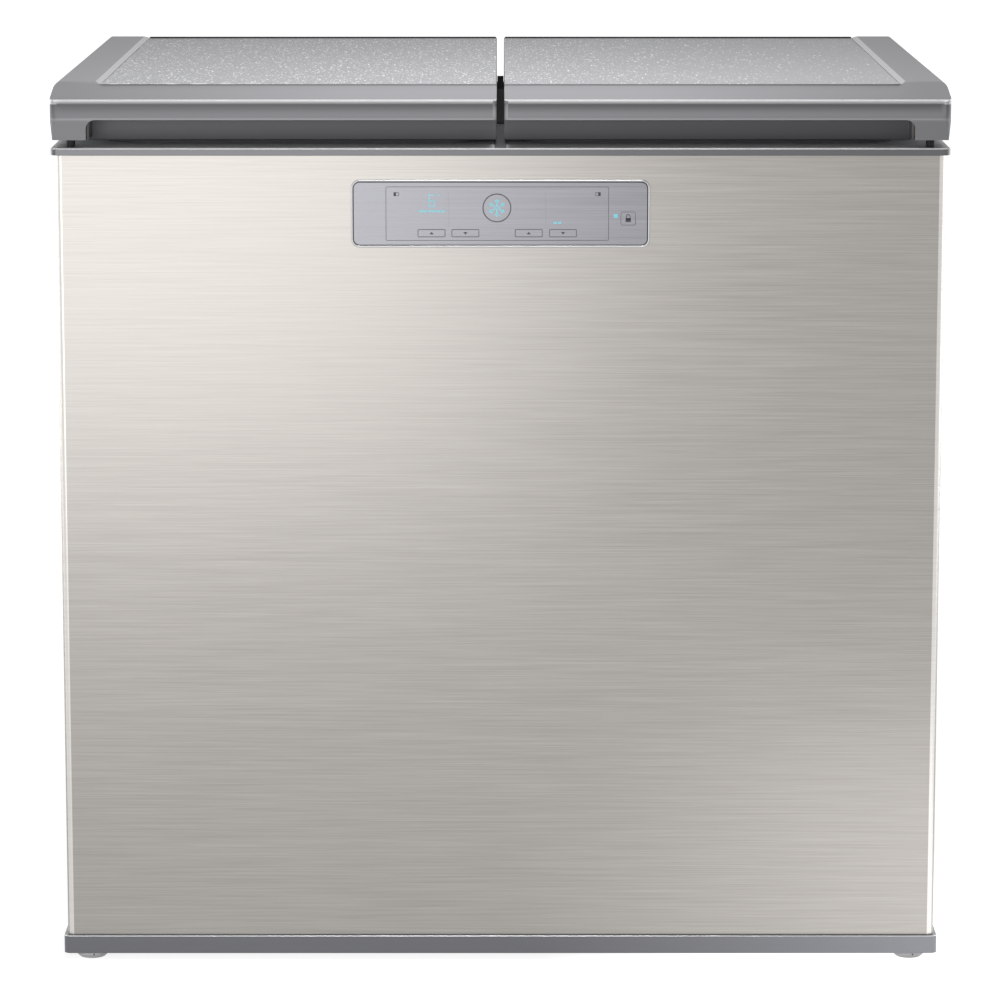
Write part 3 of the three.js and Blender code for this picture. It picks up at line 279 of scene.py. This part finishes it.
GASKET = moulded("gasket_vinyl", (0.12, 0.12, 0.13), 0.6, 1600, 0.00003)
FLAKES_AND_GLINTS = speckled()
FOAM = foamed()
DARK_PRINT = moulded("dark_print", (0.06, 0.06, 0.07), 0.5, 2500, 0.000005)
GREY_PRINT = moulded("grey_print", (0.10, 0.10, 0.112), 0.5, 2500, 0.000005)
BLUE_LIGHT = glowing("blue_light", (0.22, 0.62, 0.72), 0.35)


# ---------------------------------------------------------------- mesh helpers
def finish_mesh(name, bm, material, body, replaced=(), sharp=38.0, trims=()):
    """A mesh as a piece of the object: smooth, with its sharp edges kept, riding on a body.

    Each of trims is a second material and the test for the faces that have it.
    """
    bmesh.ops.recalc_face_normals(bm, faces=bm.faces)
    for index, (trim, test) in enumerate(trims, 1):
        for face in bm.faces:
            if test(face):
                face.material_index = index
    for face in bm.faces:
        face.smooth = True
    for edge in bm.edges:
        flat = len(edge.link_faces) == 2 and edge.calc_face_angle(0.0) < math.radians(sharp)
        edge.smooth = flat
    mesh = bpy.data.meshes.new(name)
    bm.to_mesh(mesh)
    bm.free()
    for finish in (material, *(trim for trim, _ in trims)):
        mesh.materials.append(finish.material)
    made = bpy.data.objects.new(name, mesh)
    bpy.context.scene.collection.objects.link(made)
    weighted = made.modifiers.new("weighted", "WEIGHTED_NORMAL")
    weighted.keep_sharp = True
    weighted.weight = 80
    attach(made, body)
    if replaced:
        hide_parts(*replaced)
    return made


def from_node(node):
    """A CAD node's solid with its split corners joined and its flat faces whole."""
    bm = bmesh.new()
    bm.from_mesh(nodes[node].data)
    bmesh.ops.remove_doubles(bm, verts=bm.verts, dist=0.00002)
    bmesh.ops.dissolve_limit(bm, angle_limit=math.radians(0.6), verts=bm.verts, edges=bm.edges)
    return bm


def cut_at(bm, axis, places):
    """New edges where planes across an axis (0, 1 or 2) cross the mesh."""
    normal = Vector([float(i == axis) for i in range(3)])
    for place in places:
        geometry = bm.verts[:] + bm.edges[:] + bm.faces[:]
        bmesh.ops.bisect_plane(bm, geom=geometry, plane_co=normal * place, plane_no=normal, dist=0.00001)


def round_edges(bm, width, segments=2, angle=30.0):
    """A small radius along every edge that is sharper than an angle."""
    limit = math.radians(angle)
    edges = [e for e in bm.edges if len(e.link_faces) == 2 and e.calc_face_angle(0.0) > limit]
    bmesh.ops.bevel(
        bm, geom=edges, offset=width, offset_type="OFFSET", segments=segments, profile=0.6,
        affect="EDGES", clamp_overlap=True, loop_slide=True,
    )


def body_of(node):
    return nodes[node]["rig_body"]


def rounded_copy(node, name, material, width, change=None):
    """A CAD node's solid with softened edges, standing for the node."""
    bm = from_node(node)
    if change:
        change(bm)
    if width:
        round_edges(bm, width)
    return finish_mesh(name, bm, material, body_of(node), (node,))


def rounded(cx, cz, width, height, radius, steps=6):
    """A rounded rectangle's points, in mm."""
    x, z = width / 2 - radius, height / 2 - radius
    points = []
    for sx, sz, start in ((1, 1, 0), (-1, 1, 1), (-1, -1, 2), (1, -1, 3)):
        for k in range(steps + 1):
            angle = (start + k / steps) * math.pi / 2
            points.append((cx + sx * x + radius * math.cos(angle), cz + sz * z + radius * math.sin(angle)))
    return points


def loop_of(bm, points, y, scale=MM):
    return [bm.verts.new((x * scale, y * scale, z * scale)) for x, z in points]


def bridge(bm, a, b):
    for i in range(len(a)):
        j = (i + 1) % len(a)
        bm.faces.new((a[i], a[j], b[j], b[i]))


def stacked(bm, layers, closed=True):
    """A body from outlines with the same number of points, each at its own depth: (points, y) in mm."""
    loops = [loop_of(bm, points, y) for points, y in layers]
    for a, b in zip(loops, loops[1:]):
        bridge(bm, a, b)
    if closed:
        bm.faces.new(loops[0])
        bm.faces.new(loops[-1])
    else:
        bridge(bm, loops[-1], loops[0])


# ---------------------------------------------------------------- lids
LID_FRONT, LID_HALF = -0.368, 0.463
RIDGE, CREASE = 0.891, 0.911  # heights of the cove's lower and upper edge
STEP_Y = -0.3089  # front edge of the deco panel
GRIP_X = 0.426  # outer end of the grip's mouth
NOTCH_R, WIDE_R = 0.006, 0.010  # radius of the mouth's upper corner: the solid's, and the one shown
COVE_DEPTH, COVE_REACH = 0.0030, 0.0035  # how far the cove goes in, and how far behind the front it fades
SEAM_X, SEAM_R = 0.004, 0.0038  # the lids' inner faces, and the radius of the corner beside the gap
STEP_DROP, STEP_REACH = 0.0016, 0.045  # fall of the top before the deco panel, and over what length
PANEL_X, LAND_X = 0.4128, 0.4180  # the fall fades out between these


def smooth(low, high, value):
    t = min(1.0, max(0.0, (value - low) / (high - low)))
    return t * t * (3 - 2 * t)


def shape_lid(bm, sign):
    """The lid's front: a cove between its crease and its ridge, a soft inner corner, a step before the deco panel."""
    cut_at(bm, 2, [RIDGE + 0.0001] + [RIDGE + 0.002 * k for k in range(1, 10)])
    cut_at(bm, 0, [sign * x for x in (0.0046, 0.0054, 0.0064, 0.0078, PANEL_X, LAND_X)])
    cut_at(bm, 0, [sign * (LID_HALF - d) for d in (0.004, 0.006, 0.008, 0.012)])
    cut_at(bm, 1, [STEP_Y, STEP_Y - 0.0004] + [STEP_Y - 0.001 * d for d in (8, 16, 26, 38)])
    notch, wider = Vector((GRIP_X - NOTCH_R, 0, RIDGE - NOTCH_R)), Vector((GRIP_X - WIDE_R, 0, RIDGE - WIDE_R))
    for vert in bm.verts:
        x, y, z = vert.co
        outer, behind = LID_HALF - abs(x), y - LID_FRONT
        front = max(0.0, 1 - behind / COVE_REACH)
        if front > 0 and RIDGE < z < CREASE:
            t = (z - RIDGE) / (CREASE - RIDGE)
            depth = COVE_DEPTH * smooth(0.0, 0.72, t) * (1 - smooth(0.80, 1.0, t))
            vert.co.y += depth * smooth(0.0, 0.5, front) * smooth(0.003, 0.012, outer)
        inner = abs(x) - SEAM_X
        if inner < SEAM_R and behind < 0.006 and z > RIDGE - 0.0005:
            vert.co.y += 0.8 * (SEAM_R - math.sqrt(max(0.0, SEAM_R * SEAM_R - (SEAM_R - inner) ** 2)))
        from_notch = Vector((abs(x), 0, z)) - notch
        if abs(from_notch.length - NOTCH_R) < 0.0002 and min(from_notch.x, from_notch.z) > -0.0002:
            moved = wider + from_notch.normalized() * WIDE_R
            vert.co.x, vert.co.z = sign * moved.x, moved.z
        if y < STEP_Y - 0.0002 and z > CREASE - 0.0005:
            drop = STEP_DROP * (1 - smooth(0.0, STEP_REACH, STEP_Y - y)) * (1 - smooth(PANEL_X, LAND_X, abs(x)))
            vert.co.z -= drop


def lid_cover(side, sign):
    bm = from_node(f"lid_cover_{side}")
    shape_lid(bm, sign)
    round_edges(bm, 0.0007, 2, 34.0)
    name, node = f"lid_{side}_shell", f"lid_cover_{side}"

    def bevel(face):
        """The bevel beside the deco panel, which takes a painted highlight."""
        centre = face.calc_center_median()
        return 0.0418 < LID_HALF - abs(centre.x) < 0.0484 and centre.z > 0.9225 and 0.9 < face.normal.z < 0.9999

    def corner(face):
        """The rounded corner beside the gap between the lids, which takes a painted highlight."""
        centre = face.calc_center_median()
        return abs(centre.x) < 0.0078 and centre.y < LID_FRONT + 0.004 and RIDGE < centre.z < CREASE

    # Faces along the crease, which take the painted highlight.
    def crease(face):
        centre = face.calc_center_median()
        return centre.y < LID_FRONT + 0.005 and 0.9075 < centre.z < 0.9125 and face.normal.z < 0.95

    # Faces of the cove, which take the painted shade and highlight.
    def cove(face):
        centre = face.calc_center_median()
        return centre.y < LID_FRONT + 0.006 and centre.z < 0.9075 and face.normal.y < -0.6

    trims = ((EDGE_HIGHLIGHT, bevel), (CREASE_HIGHLIGHT, crease), (COVE_SHADE, cove), (EDGE_HIGHLIGHT, corner))
    return finish_mesh(name, bm, LID_PAINT_SHADED_ENDS, body_of(node), (node,), 42.0, trims)


def grip(side, sign):
    """The grip recess, in dark plastic with painted shade towards its bottom."""
    bm = from_node(f"lid_grip_{side}")
    round_edges(bm, 0.0009, 3)
    node = f"lid_grip_{side}"
    return finish_mesh(f"lid_{side}_grip_recess", bm, GRIP_PLASTIC_SHADED, body_of(node), (node,))


def block(bm, x, y, z, edge=0.0):
    """A box between two places along each axis, with softened edges."""
    made = bmesh.ops.create_cube(bm, size=1)["verts"]
    for vert in made:
        vert.co = Vector([sum(ends) / 2 + share * (ends[1] - ends[0]) for ends, share in zip((x, y, z), vert.co)])
    if edge:
        edges = list({e for v in made for e in v.link_edges})
        bmesh.ops.bevel(bm, geom=edges, offset=edge, segments=2, profile=0.6, affect="EDGES")


def lid_shadow_strips(side, sign):
    """Black rubber beside the deco panel: a strip in the seam along its front edge and a strip along the lid's back,
    each standing for a shadow line as painted shade.
    """
    low, high = sorted((sign * 0.0052, sign * 0.4146))
    bm = bmesh.new()
    block(bm, (low, high), (STEP_Y - 0.0002, STEP_Y + 0.0002), (0.9205, 0.9226))
    finish_mesh(f"lid_{side}_front_shadow_seam", bm, RUBBER, f"lid_{side}")
    bm = bmesh.new()
    block(bm, (low, high), (0.3500, 0.3550), (0.9225, 0.9246), 0.0007)
    finish_mesh(f"lid_{side}_back_shadow_strip", bm, RUBBER, f"lid_{side}")


def split_seals_and_shade():
    """Rubber on the divider under the gap between the lids: a flat black strip, partly painted shade for the dark seen
    through the gap, and a fin that reaches over the rail.
    """
    bm = bmesh.new()
    block(bm, (-0.006, 0.006), (-0.095, 0.340), (0.8613, 0.8640), 0.0008)
    block(bm, (-0.0036, 0.0036), (0.3582, 0.3608), (0.8617, 0.8775), 0.0006)
    block(bm, (-0.0036, 0.0036), (0.3602, 0.3660), (0.8706, 0.8775), 0.0006)
    finish_mesh("divider_seal_and_shade", bm, RUBBER, "cabinet")
    bm = bmesh.new()
    block(bm, (-0.006, 0.006), (-0.3640, -0.0955), (0.8613, 0.8622), 0.0003)
    finish_mesh("divider_strip", bm, GASKET, "cabinet")


# ---------------------------------------------------------------- control panel
PANEL_Z = 794.0
OVERLAY_Y = -363.3


def control_panel():
    """The bezel's bright rim, the dark seam inside it and the brushed overlay."""
    frame_of = lambda inset: rounded(0, PANEL_Z, 308 - 2 * inset, 70 - 2 * inset, 9 - inset, 10)
    bm = bmesh.new()
    stacked(bm, [
        (frame_of(0), -362.0), (frame_of(0), -363.1), (frame_of(0.25), -363.6), (frame_of(0.8), -363.9),
        (frame_of(1.3), -363.85), (frame_of(1.7), -363.5), (frame_of(1.9), -362.3), (frame_of(1.9), -362.0),
    ], closed=False)
    finish_mesh("panel_rim", bm, BRIGHT_TRIM, "cabinet", ("panel_bezel",))
    bm = bmesh.new()
    stacked(bm, [(frame_of(1.7), -362.05), (frame_of(1.7), -362.6), (frame_of(3.4), -362.6), (frame_of(3.4), -362.05)],
            closed=False)
    finish_mesh("panel_seam", bm, BLACK_PLASTIC, "cabinet")
    bm = bmesh.new()
    stacked(bm, [(frame_of(2.7), -362.4), (frame_of(2.7), OVERLAY_Y + 0.35), (frame_of(2.8), OVERLAY_Y + 0.12),
                 (frame_of(3.1), OVERLAY_Y)])
    finish_mesh("panel_plate", bm, OVERLAY, "cabinet", ("panel_overlay",))


def printed(name, material, draw):
    """Print on the overlay: each shape is (outline, inner outline or None), in mm about the panel's middle."""
    bm = bmesh.new()
    back, front = OVERLAY_Y + 0.02, OVERLAY_Y - 0.05
    for outer, inner in draw:
        lift = lambda points: [(x, z + PANEL_Z) for x, z in points]
        if inner is None:
            stacked(bm, [(lift(outer), back), (lift(outer), front)])
        else:
            stacked(bm, [(lift(outer), back), (lift(outer), front), (lift(inner), front), (lift(inner), back)],
                    closed=False)
    return finish_mesh(name, bm, material, "cabinet")


def frame_line(cx, cz, width, height, radius, line):
    return (rounded(cx, cz, width, height, radius),
            rounded(cx, cz, width - 2 * line, height - 2 * line, max(0.1, radius - line)))


def ring_line(cx, cz, radius, line, steps=48):
    turn = [2 * math.pi * k / steps for k in range(steps)]
    around = lambda r: [(cx + r * math.cos(a), cz + r * math.sin(a)) for a in turn]
    return around(radius), around(radius - line)


def bar_at(cx, cz, width, height):
    x, z = width / 2, height / 2
    return [(cx - x, cz - z), (cx + x, cz - z), (cx + x, cz + z), (cx - x, cz + z)], None


def spoke(cx, cz, angle, start, end, width):
    along, across = (math.cos(angle), math.sin(angle)), (-math.sin(angle) * width / 2, math.cos(angle) * width / 2)
    near = (cx + along[0] * start, cz + along[1] * start)
    far = (cx + along[0] * end, cz + along[1] * end)
    return [(near[0] - across[0], near[1] - across[1]), (far[0] - across[0], far[1] - across[1]),
            (far[0] + across[0], far[1] + across[1]), (near[0] + across[0], near[1] + across[1])], None


def panel_print():
    dial = (-3.7, 6.0)
    keys = (-71.1, -36.2, 29.1, 64.5)
    lines = [frame_line(-3.3, 0, 230, 56, 1.7, 0.55), frame_line(131.7, -5, 15.7, 14.2, 2.2, 0.6)]
    lines += [frame_line(x, -20.2, 28.6, 8.3, 1.2, 0.75) for x in keys]
    lines += [ring_line(*dial, 14.9, 1.15)]
    printed("panel_lines", GREY_PRINT, lines)
    marks = [frame_line(-107.4, 20.2, 5.4, 3.8, 0.4, 0.5), bar_at(-108.8, 20.2, 2.4, 3.6)]
    marks += [frame_line(100.4, 20.2, 5.4, 3.8, 0.4, 0.5), bar_at(101.8, 20.2, 2.4, 3.6)]
    for x, arrow in zip(keys, (1, -1, 1, -1)):
        tip, foot = -20.2 + 1.4 * arrow, -20.2 - 1.2 * arrow
        marks.append(([(x - 2.2, foot), (x + 2.2, foot), (x, tip)][::arrow], None))
    marks += [bar_at(131.7, -6.6, 5.6, 4.2), (frame_line(131.7, -3.4, 4.4, 5.6, 1.9, 0.8))]
    for x in (-53.5, 46.7):
        marks += [bar_at(x, 22 - 2.3 * k, 0.3, 0.9) for k in range(16)]
    printed("panel_marks", DARK_PRINT, marks)
    left, right, top, low = -73.8, -68.0, 19.6, 7.4
    middle = (top + low) / 2
    digit = [bar_at((left + right) / 2, z, right - left, 0.9) for z in (top, middle, low)]
    digit += [bar_at(left, middle, 0.9, top - low), bar_at(right, (middle + low) / 2, 0.9, middle - low)]
    lit = digit + [ring_line(-63.9, 18.4, 1.3, 0.5, 20)]
    lit += [bar_at(-82.6 + 4.75 * k, 2.6, 3.6, 1.9) for k in range(6)]
    lit += [bar_at(56.2, -9.4, 3.4, 2.0), bar_at(61.0, -9.4, 3.4, 2.0), bar_at(118.7, -2.3, 4.1, 4.1)]
    for k in range(6):
        angle = k * math.pi / 3 + math.pi / 6
        lit.append(spoke(*dial, angle, 0.9, 9.2, 1.1))
        for turn in (-0.7, 0.7):
            root = (dial[0] + 5.2 * math.cos(angle), dial[1] + 5.2 * math.sin(angle))
            lit.append(spoke(*root, angle + turn, 0.4, 3.4, 0.9))
    printed("panel_lights", BLUE_LIGHT, lit)


# ---------------------------------------------------------------- cabinet
# The band this wide takes the painted highlight of the front panel's folds.
FOLD_WIDTH = 0.0072  # from the cabinet's side to where the front panel's upright fold ends


def front_skin():
    """The front panel, in paler steel where it is folded round the upright corners: a painted highlight."""
    node = "front_panel"
    bm = from_node(node)
    round_edges(bm, 0.0004)
    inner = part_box(node)[1].x - FOLD_WIDTH
    fold = lambda face: abs(face.calc_center_median().x) > inner and 0.08 < abs(face.normal.x) < 0.72
    trims = ((STEEL_FOLD_HIGHLIGHT, fold),)
    finish_mesh("front_skin", bm, BRUSHED_STEEL, body_of(node), (node,), trims=trims)


def edged(node, name, material, highlight_material, width, level, lit_top_material=None):
    """A rim whose upper outer edge is a wide bevel above a level, in a paler colour as a painted highlight; its top
    faces may take a lighter colour as painted light.
    """
    bm = from_node(node)
    low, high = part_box(node)
    reach = lambda co: co.y < low.y + 0.009 or abs(co.x) > high.x - 0.0015
    on_top = [e for e in bm.edges if len(e.link_faces) == 2 and e.calc_face_angle(0.0) > 0.6
              and all(v.co.z > level and reach(v.co) for v in e.verts)]
    bmesh.ops.bevel(bm, geom=on_top, offset=width, segments=3, profile=0.5, affect="EDGES", clamp_overlap=True)
    round_edges(bm, 0.0005, 2, 50.0)
    # Faces of the wide bevel, which take the painted highlight.
    bright = lambda face: face.calc_center_median().z > level - width and 0.12 < face.normal.z < 0.97
    trims = [(highlight_material, bright)]
    # Top faces in a lighter colour: painted light.
    if lit_top_material:
        trims.append((lit_top_material, lambda face: face.normal.z > 0.97))
    return finish_mesh(name, bm, material, body_of(node), (node,), trims=trims)


def foot_slots():
    """The slot in each foot's rim that a tool turns it by."""
    for side, sign in SIDES.items():
        bm = bmesh.new()
        centre = (sign * 0.434, -0.347)
        profile = [(0.0139, 0.0006), (0.0192, 0.0054), (0.0195, 0.0062), (0.0180, 0.0062), (0.0135, 0.0012)]
        rings = []
        for offset in (0.0022, 0.0038):
            rings.append([bm.verts.new((centre[0] + offset, centre[1] - math.sqrt(r * r - offset ** 2), z))
                          for r, z in profile])
        bridge(bm, *rings)
        bm.faces.new(rings[0])
        bm.faces.new(rings[1])
        finish_mesh(f"foot_slot_{side}", bm, BLACK_PLASTIC, f"foot_{side}")


SCREW_R = 0.0036


def screw(bm, x, y, z):
    """A pan-head screw with a cross recess, standing on a face that looks to the back."""
    steps = 20
    profile = [(1.0, 0.0), (1.0, 0.25), (0.86, 0.45), (0.55, 0.58), (0.3, 0.6), (0.22, 0.2)]
    loops = []
    for share, rise in profile:
        ring = []
        for k in range(steps):
            a = 2 * math.pi * k / steps
            r = SCREW_R * share
            if share < 0.5:
                r *= 1.35 if k % 5 == 0 else 0.7
            ring.append(bm.verts.new((x + r * math.cos(a), y + SCREW_R * rise, z + r * math.sin(a))))
        loops.append(ring)
    for a, b in zip(loops, loops[1:]):
        bridge(bm, a, b)
    bm.faces.new(loops[0])
    bm.faces.new(loops[-1])


def back_screws():
    """The screws that hold the back panel and the machine cover."""
    bm = bmesh.new()
    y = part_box("back_panel")[1].y
    for z in (0.040, 0.264):
        for x in (-0.44, -0.22, 0.0, 0.22, 0.44):
            screw(bm, x, y, z)
    for z in (0.285, 0.47, 0.66, 0.845):
        for x in (-0.447, 0.447):
            screw(bm, x, y, z)
    finish_mesh("back_screws", bm, ZINC_STEEL, "cabinet")


SWAGES = (-0.28, 0.0, 0.28)  # middles of the back panel's swages
SWAGE_RISE = 0.0022


def emboss_back(bm):
    """Three long swages pressed outwards in the back panel."""
    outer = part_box("back_panel")[1].y
    cut_at(bm, 0, [c + d for c in SWAGES for d in (-0.062, -0.056, 0.056, 0.062)])
    cut_at(bm, 2, [0.34, 0.346, 0.774, 0.78])
    for vert in bm.verts:
        x, y, z = vert.co
        near = min(abs(x - c) for c in SWAGES)
        if near < 0.0565 and 0.3455 < z < 0.7745 and y > outer - 0.0002:
            vert.co.y += SWAGE_RISE


CARRIED = {
    "foam_body": FOAM, "control_box": DARK_PLASTIC, "evaporator_left": COPPER, "evaporator_right": COPPER,
    "lid_foam_left": FOAM, "lid_foam_right": FOAM, "fan_blade": PALE_PLASTIC,
}
SOFTENED = {
    "side_panel_left": ("side_skin_left", PAINTED_STEEL, 0.0003, None),
    "side_panel_right": ("side_skin_right", PAINTED_STEEL, 0.0003, None),
    "back_panel": ("back_skin", ZINC_STEEL, 0.0, emboss_back),
    "back_rail": ("rear_rail", FRAME_PAINT, 0.0008, None),
    "machine_cover": ("machine_room_cover", ZINC_STEEL, 0.0003, None),
    "cord_gland": ("gland", RUBBER, 0.0008, None),
    "base_pan": ("base_plate", ZINC_STEEL, 0.0005, None),
    "compressor": ("compressor_shell", COMPRESSOR_PAINT, 0.0015, None),
    "fan_shroud": ("fan_frame", DARK_PLASTIC, 0.0006, None),
    "fan_motor": ("fan_drive", BLACK_PLASTIC, 0.0008, None),
    "condenser": ("condenser_fins", CONDENSER_METAL, 0.0004, None),
    "tank_left": ("well_left", TANK_METAL, 0.0006, None),
    "tank_right": ("well_right", TANK_METAL, 0.0006, None),
    "foot_left": ("foot_pad_left", NYLON, 0.0007, None),
    "foot_right": ("foot_pad_right", NYLON, 0.0007, None),
}
for side, sign in SIDES.items():
    SOFTENED.update({
        f"caster_bracket_{side}": (f"caster_fork_{side}", ZINC_STEEL, 0.0004, None),
        f"caster_wheel_{side}": (f"caster_roller_{side}", BLACK_PLASTIC, 0.0012, None),
        f"lid_liner_{side}": (f"lid_{side}_inner", LINER_PLASTIC, 0.0012, None),
        f"lid_gasket_{side}": (f"lid_{side}_seal", GASKET, 0.0008, None),
        f"lid_deco_panel_{side}": (f"lid_{side}_flake_panel", FLAKES_AND_GLINTS, 0.0009, None),
        f"lid_bumper_{side}": (f"lid_{side}_stop", RUBBER, 0.0009, None),
    })
    for number in (1, 2):
        SOFTENED[f"hinge_base_{side}_{number}"] = (f"hinge_{side}_{number}_plate", ZINC_STEEL, 0.0005, None)
        SOFTENED[f"hinge_leaf_{side}_{number}"] = (f"hinge_{side}_{number}_arm", ZINC_STEEL, 0.0005, None)
for level in ("lower", "upper"):
    for place in ("front", "back"):
        name = f"container_{level}_{place}"
        SOFTENED[f"{name}_tub"] = (f"{name}_box", TUB_PLASTIC, 0.0010, None)
        SOFTENED[f"{name}_cap"] = (f"{name}_lid", CAP_PLASTIC, 0.0012, None)


# ---------------------------------------------------------------- stage, camera and light
def node_in(tree, kind, links=(), values=(), **settings):
    """A node with its sockets linked or given values, each a (socket, source or value) pair."""
    made = tree.nodes.new(kind)
    for key, value in settings.items():
        setattr(made, key, value)
    for socket, source in links:
        tree.links.new(source, made.inputs[socket])
    for socket, value in values:
        made.inputs[socket].default_value = value
    return made


def range_in(tree, source, ends):
    """A source spread from one range to another: (from low, from high, to low, to high)."""
    values = zip(("From Min", "From Max", "To Min", "To Max"), ends)
    return node_in(tree, "ShaderNodeMapRange", [("Value", source)], values).outputs[0]


def light_paths(tree):
    """1 where a surface is seen by the camera or in a gloss or glass, else 0."""
    rays = node_in(tree, "ShaderNodeLightPath").outputs
    total = rays["Is Camera Ray"]
    for name in ("Is Glossy Ray", "Is Transmission Ray"):
        total = node_in(tree, "ShaderNodeMath", [(0, total), (1, rays[name])], operation="MAXIMUM").outputs[0]
    return total


FLOOR_HALF = 40
# The pool below is a painted pool of light that the steel front reflects.
LIGHT_POOL = (0.75, -0.6, 0)  # middle of the brighter patch of floor in front of the right corner


def floor():
    """A pale floor that is seen as almost white. Its glow is lower near the cabinet, painted shade, and higher in a
    painted pool of light before the right corner.
    """
    bm = bmesh.new()
    corners = ((-1, -1), (1, -1), (1, 1), (-1, 1))
    bm.faces.new([bm.verts.new((x * FLOOR_HALF, y * FLOOR_HALF, 0)) for x, y in corners])
    mesh = bpy.data.meshes.new("floor")
    bm.to_mesh(mesh)
    bm.free()
    made = bpy.data.objects.new("floor", mesh)
    bpy.context.scene.collection.objects.link(made)
    material = bpy.data.materials.new("pale_floor")
    material.use_nodes = True
    tree = material.node_tree
    shader = tree.nodes["Principled BSDF"]
    shader.inputs["Base Color"].default_value = (0.32, 0.32, 0.32, 1)
    shader.inputs["Roughness"].default_value = 0.9
    place = tree.nodes.new("ShaderNodeTexCoord").outputs["Object"]
    away = node_in(tree, "ShaderNodeVectorMath", [(0, place)], operation="LENGTH").outputs["Value"]
    # Glow rising from the cabinet outwards: painted shade near the cabinet.
    level = range_in(tree, away, (0.8, 3.0, 0.84, 1.0))
    # A painted pool of light in front of the right corner.
    pool = node_in(tree, "ShaderNodeVectorMath", [(0, place)], [(1, LIGHT_POOL)], operation="DISTANCE")
    bright = range_in(tree, pool.outputs["Value"], (0.2, 0.75, 0.9, 0.0))
    lit = node_in(tree, "ShaderNodeMath", [(0, level), (1, bright)], operation="ADD").outputs[0]
    seen = node_in(tree, "ShaderNodeMath", [(0, light_paths(tree)), (1, lit)], operation="MULTIPLY").outputs[0]
    glow = node_in(tree, "ShaderNodeEmission", [("Strength", seen)])
    both = node_in(tree, "ShaderNodeAddShader", [(0, shader.outputs[0]), (1, glow.outputs[0])])
    tree.links.new(both.outputs[0], tree.nodes["Material Output"].inputs["Surface"])
    mesh.materials.append(material)


def world(level):
    """Even fill light, seen as white."""
    made = bpy.data.worlds.new("studio")
    bpy.context.scene.world = made
    made.use_nodes = True
    tree = made.node_tree
    background = tree.nodes["Background"]
    tree.links.new(range_in(tree, light_paths(tree), (0.0, 1.0, level, 1.0)), background.inputs["Strength"])
    background.inputs["Color"].default_value = (1, 1, 1, 1)


def lamp(name, place, target, size, power):
    """A soft rectangular light at a place, turned to a target."""
    data = bpy.data.lights.new(name, "AREA")
    data.shape = "RECTANGLE"
    data.size, data.size_y = size
    data.energy = power
    made = bpy.data.objects.new(name, data)
    made.location = place
    made.rotation_mode = "QUATERNION"
    made.rotation_quaternion = (Vector(target) - Vector(place)).to_track_quat("-Z", "Y")
    bpy.context.scene.collection.objects.link(made)


CAMERA_PLACE = (-0.0005, -4.9666, 1.3061)
CAMERA_DOWN = 10.0  # degrees


def camera():
    """A long lens, looking slightly down at the front."""
    data = bpy.data.cameras.new("camera")
    data.sensor_width = 36
    data.lens = 161.47
    data.clip_end = 100
    made = bpy.data.objects.new("camera", data)
    made.location = CAMERA_PLACE
    made.rotation_euler = (math.radians(90.0 - CAMERA_DOWN), 0, 0)
    bpy.context.scene.collection.objects.link(made)
    bpy.context.scene.camera = made


camera()
floor()
world(0.24)
lamp("key", (-0.54, -1.8, 0.73), (-0.15, -0.36, 0.4), (1.2, 0.94), 8.1)
lamp("top", (0.02, -0.55, 1.95), (0.02, -0.25, 0.9), (0.4, 0.4), 12.5)
lamp("low_right", (0.62, -0.9, 0.04), (0.40, -0.36, 0.06), (0.8, 0.08), 0.2)
lamp("left", (-2.6, -0.9, 0.8), (-0.46, -0.36, 0.5), (0.6, 1.4), 3)
lamp("right", (2.6, -0.45, 0.8), (0.46, -0.36, 0.5), (0.6, 1.4), 4.5)
lamp("side_left", (-2.6, 0.7, 0.5), (-0.46, 0.1, 0.5), (1.4, 0.7), 16)
lamp("side_right", (2.6, 0.7, 0.5), (0.46, 0.1, 0.5), (1.4, 0.7), 16)
lamp("behind", (0.0, 2.6, 0.5), (0, 0.37, 0.5), (1.6, 0.7), 11)

for node, (name, material, width, change) in SOFTENED.items():
    rounded_copy(node, name, material, width, change=change)
for node, material in CARRIED.items():
    nodes[node].data.materials.clear()
    nodes[node].data.materials.append(material.material)
for side, sign in SIDES.items():
    lid_cover(side, sign)
    grip(side, sign)
    lid_shadow_strips(side, sign)
split_seals_and_shade()
front_skin()
edged("top_frame", "top_rim", FRAME_PAINT, FRAME_EDGE_HIGHLIGHT, 0.0013, 0.8610, FRAME_TOP_LIGHTENED)
edged("base_trim", "base_skirt", TRIM_PAINT_SHADED, TRIM_EDGE_HIGHLIGHT, 0.0016, 0.0255)
foot_slots()
control_panel()
panel_print()
back_screws()

bpy.context.scene.view_settings.view_transform = "Standard"
bpy.context.view_layer.update()
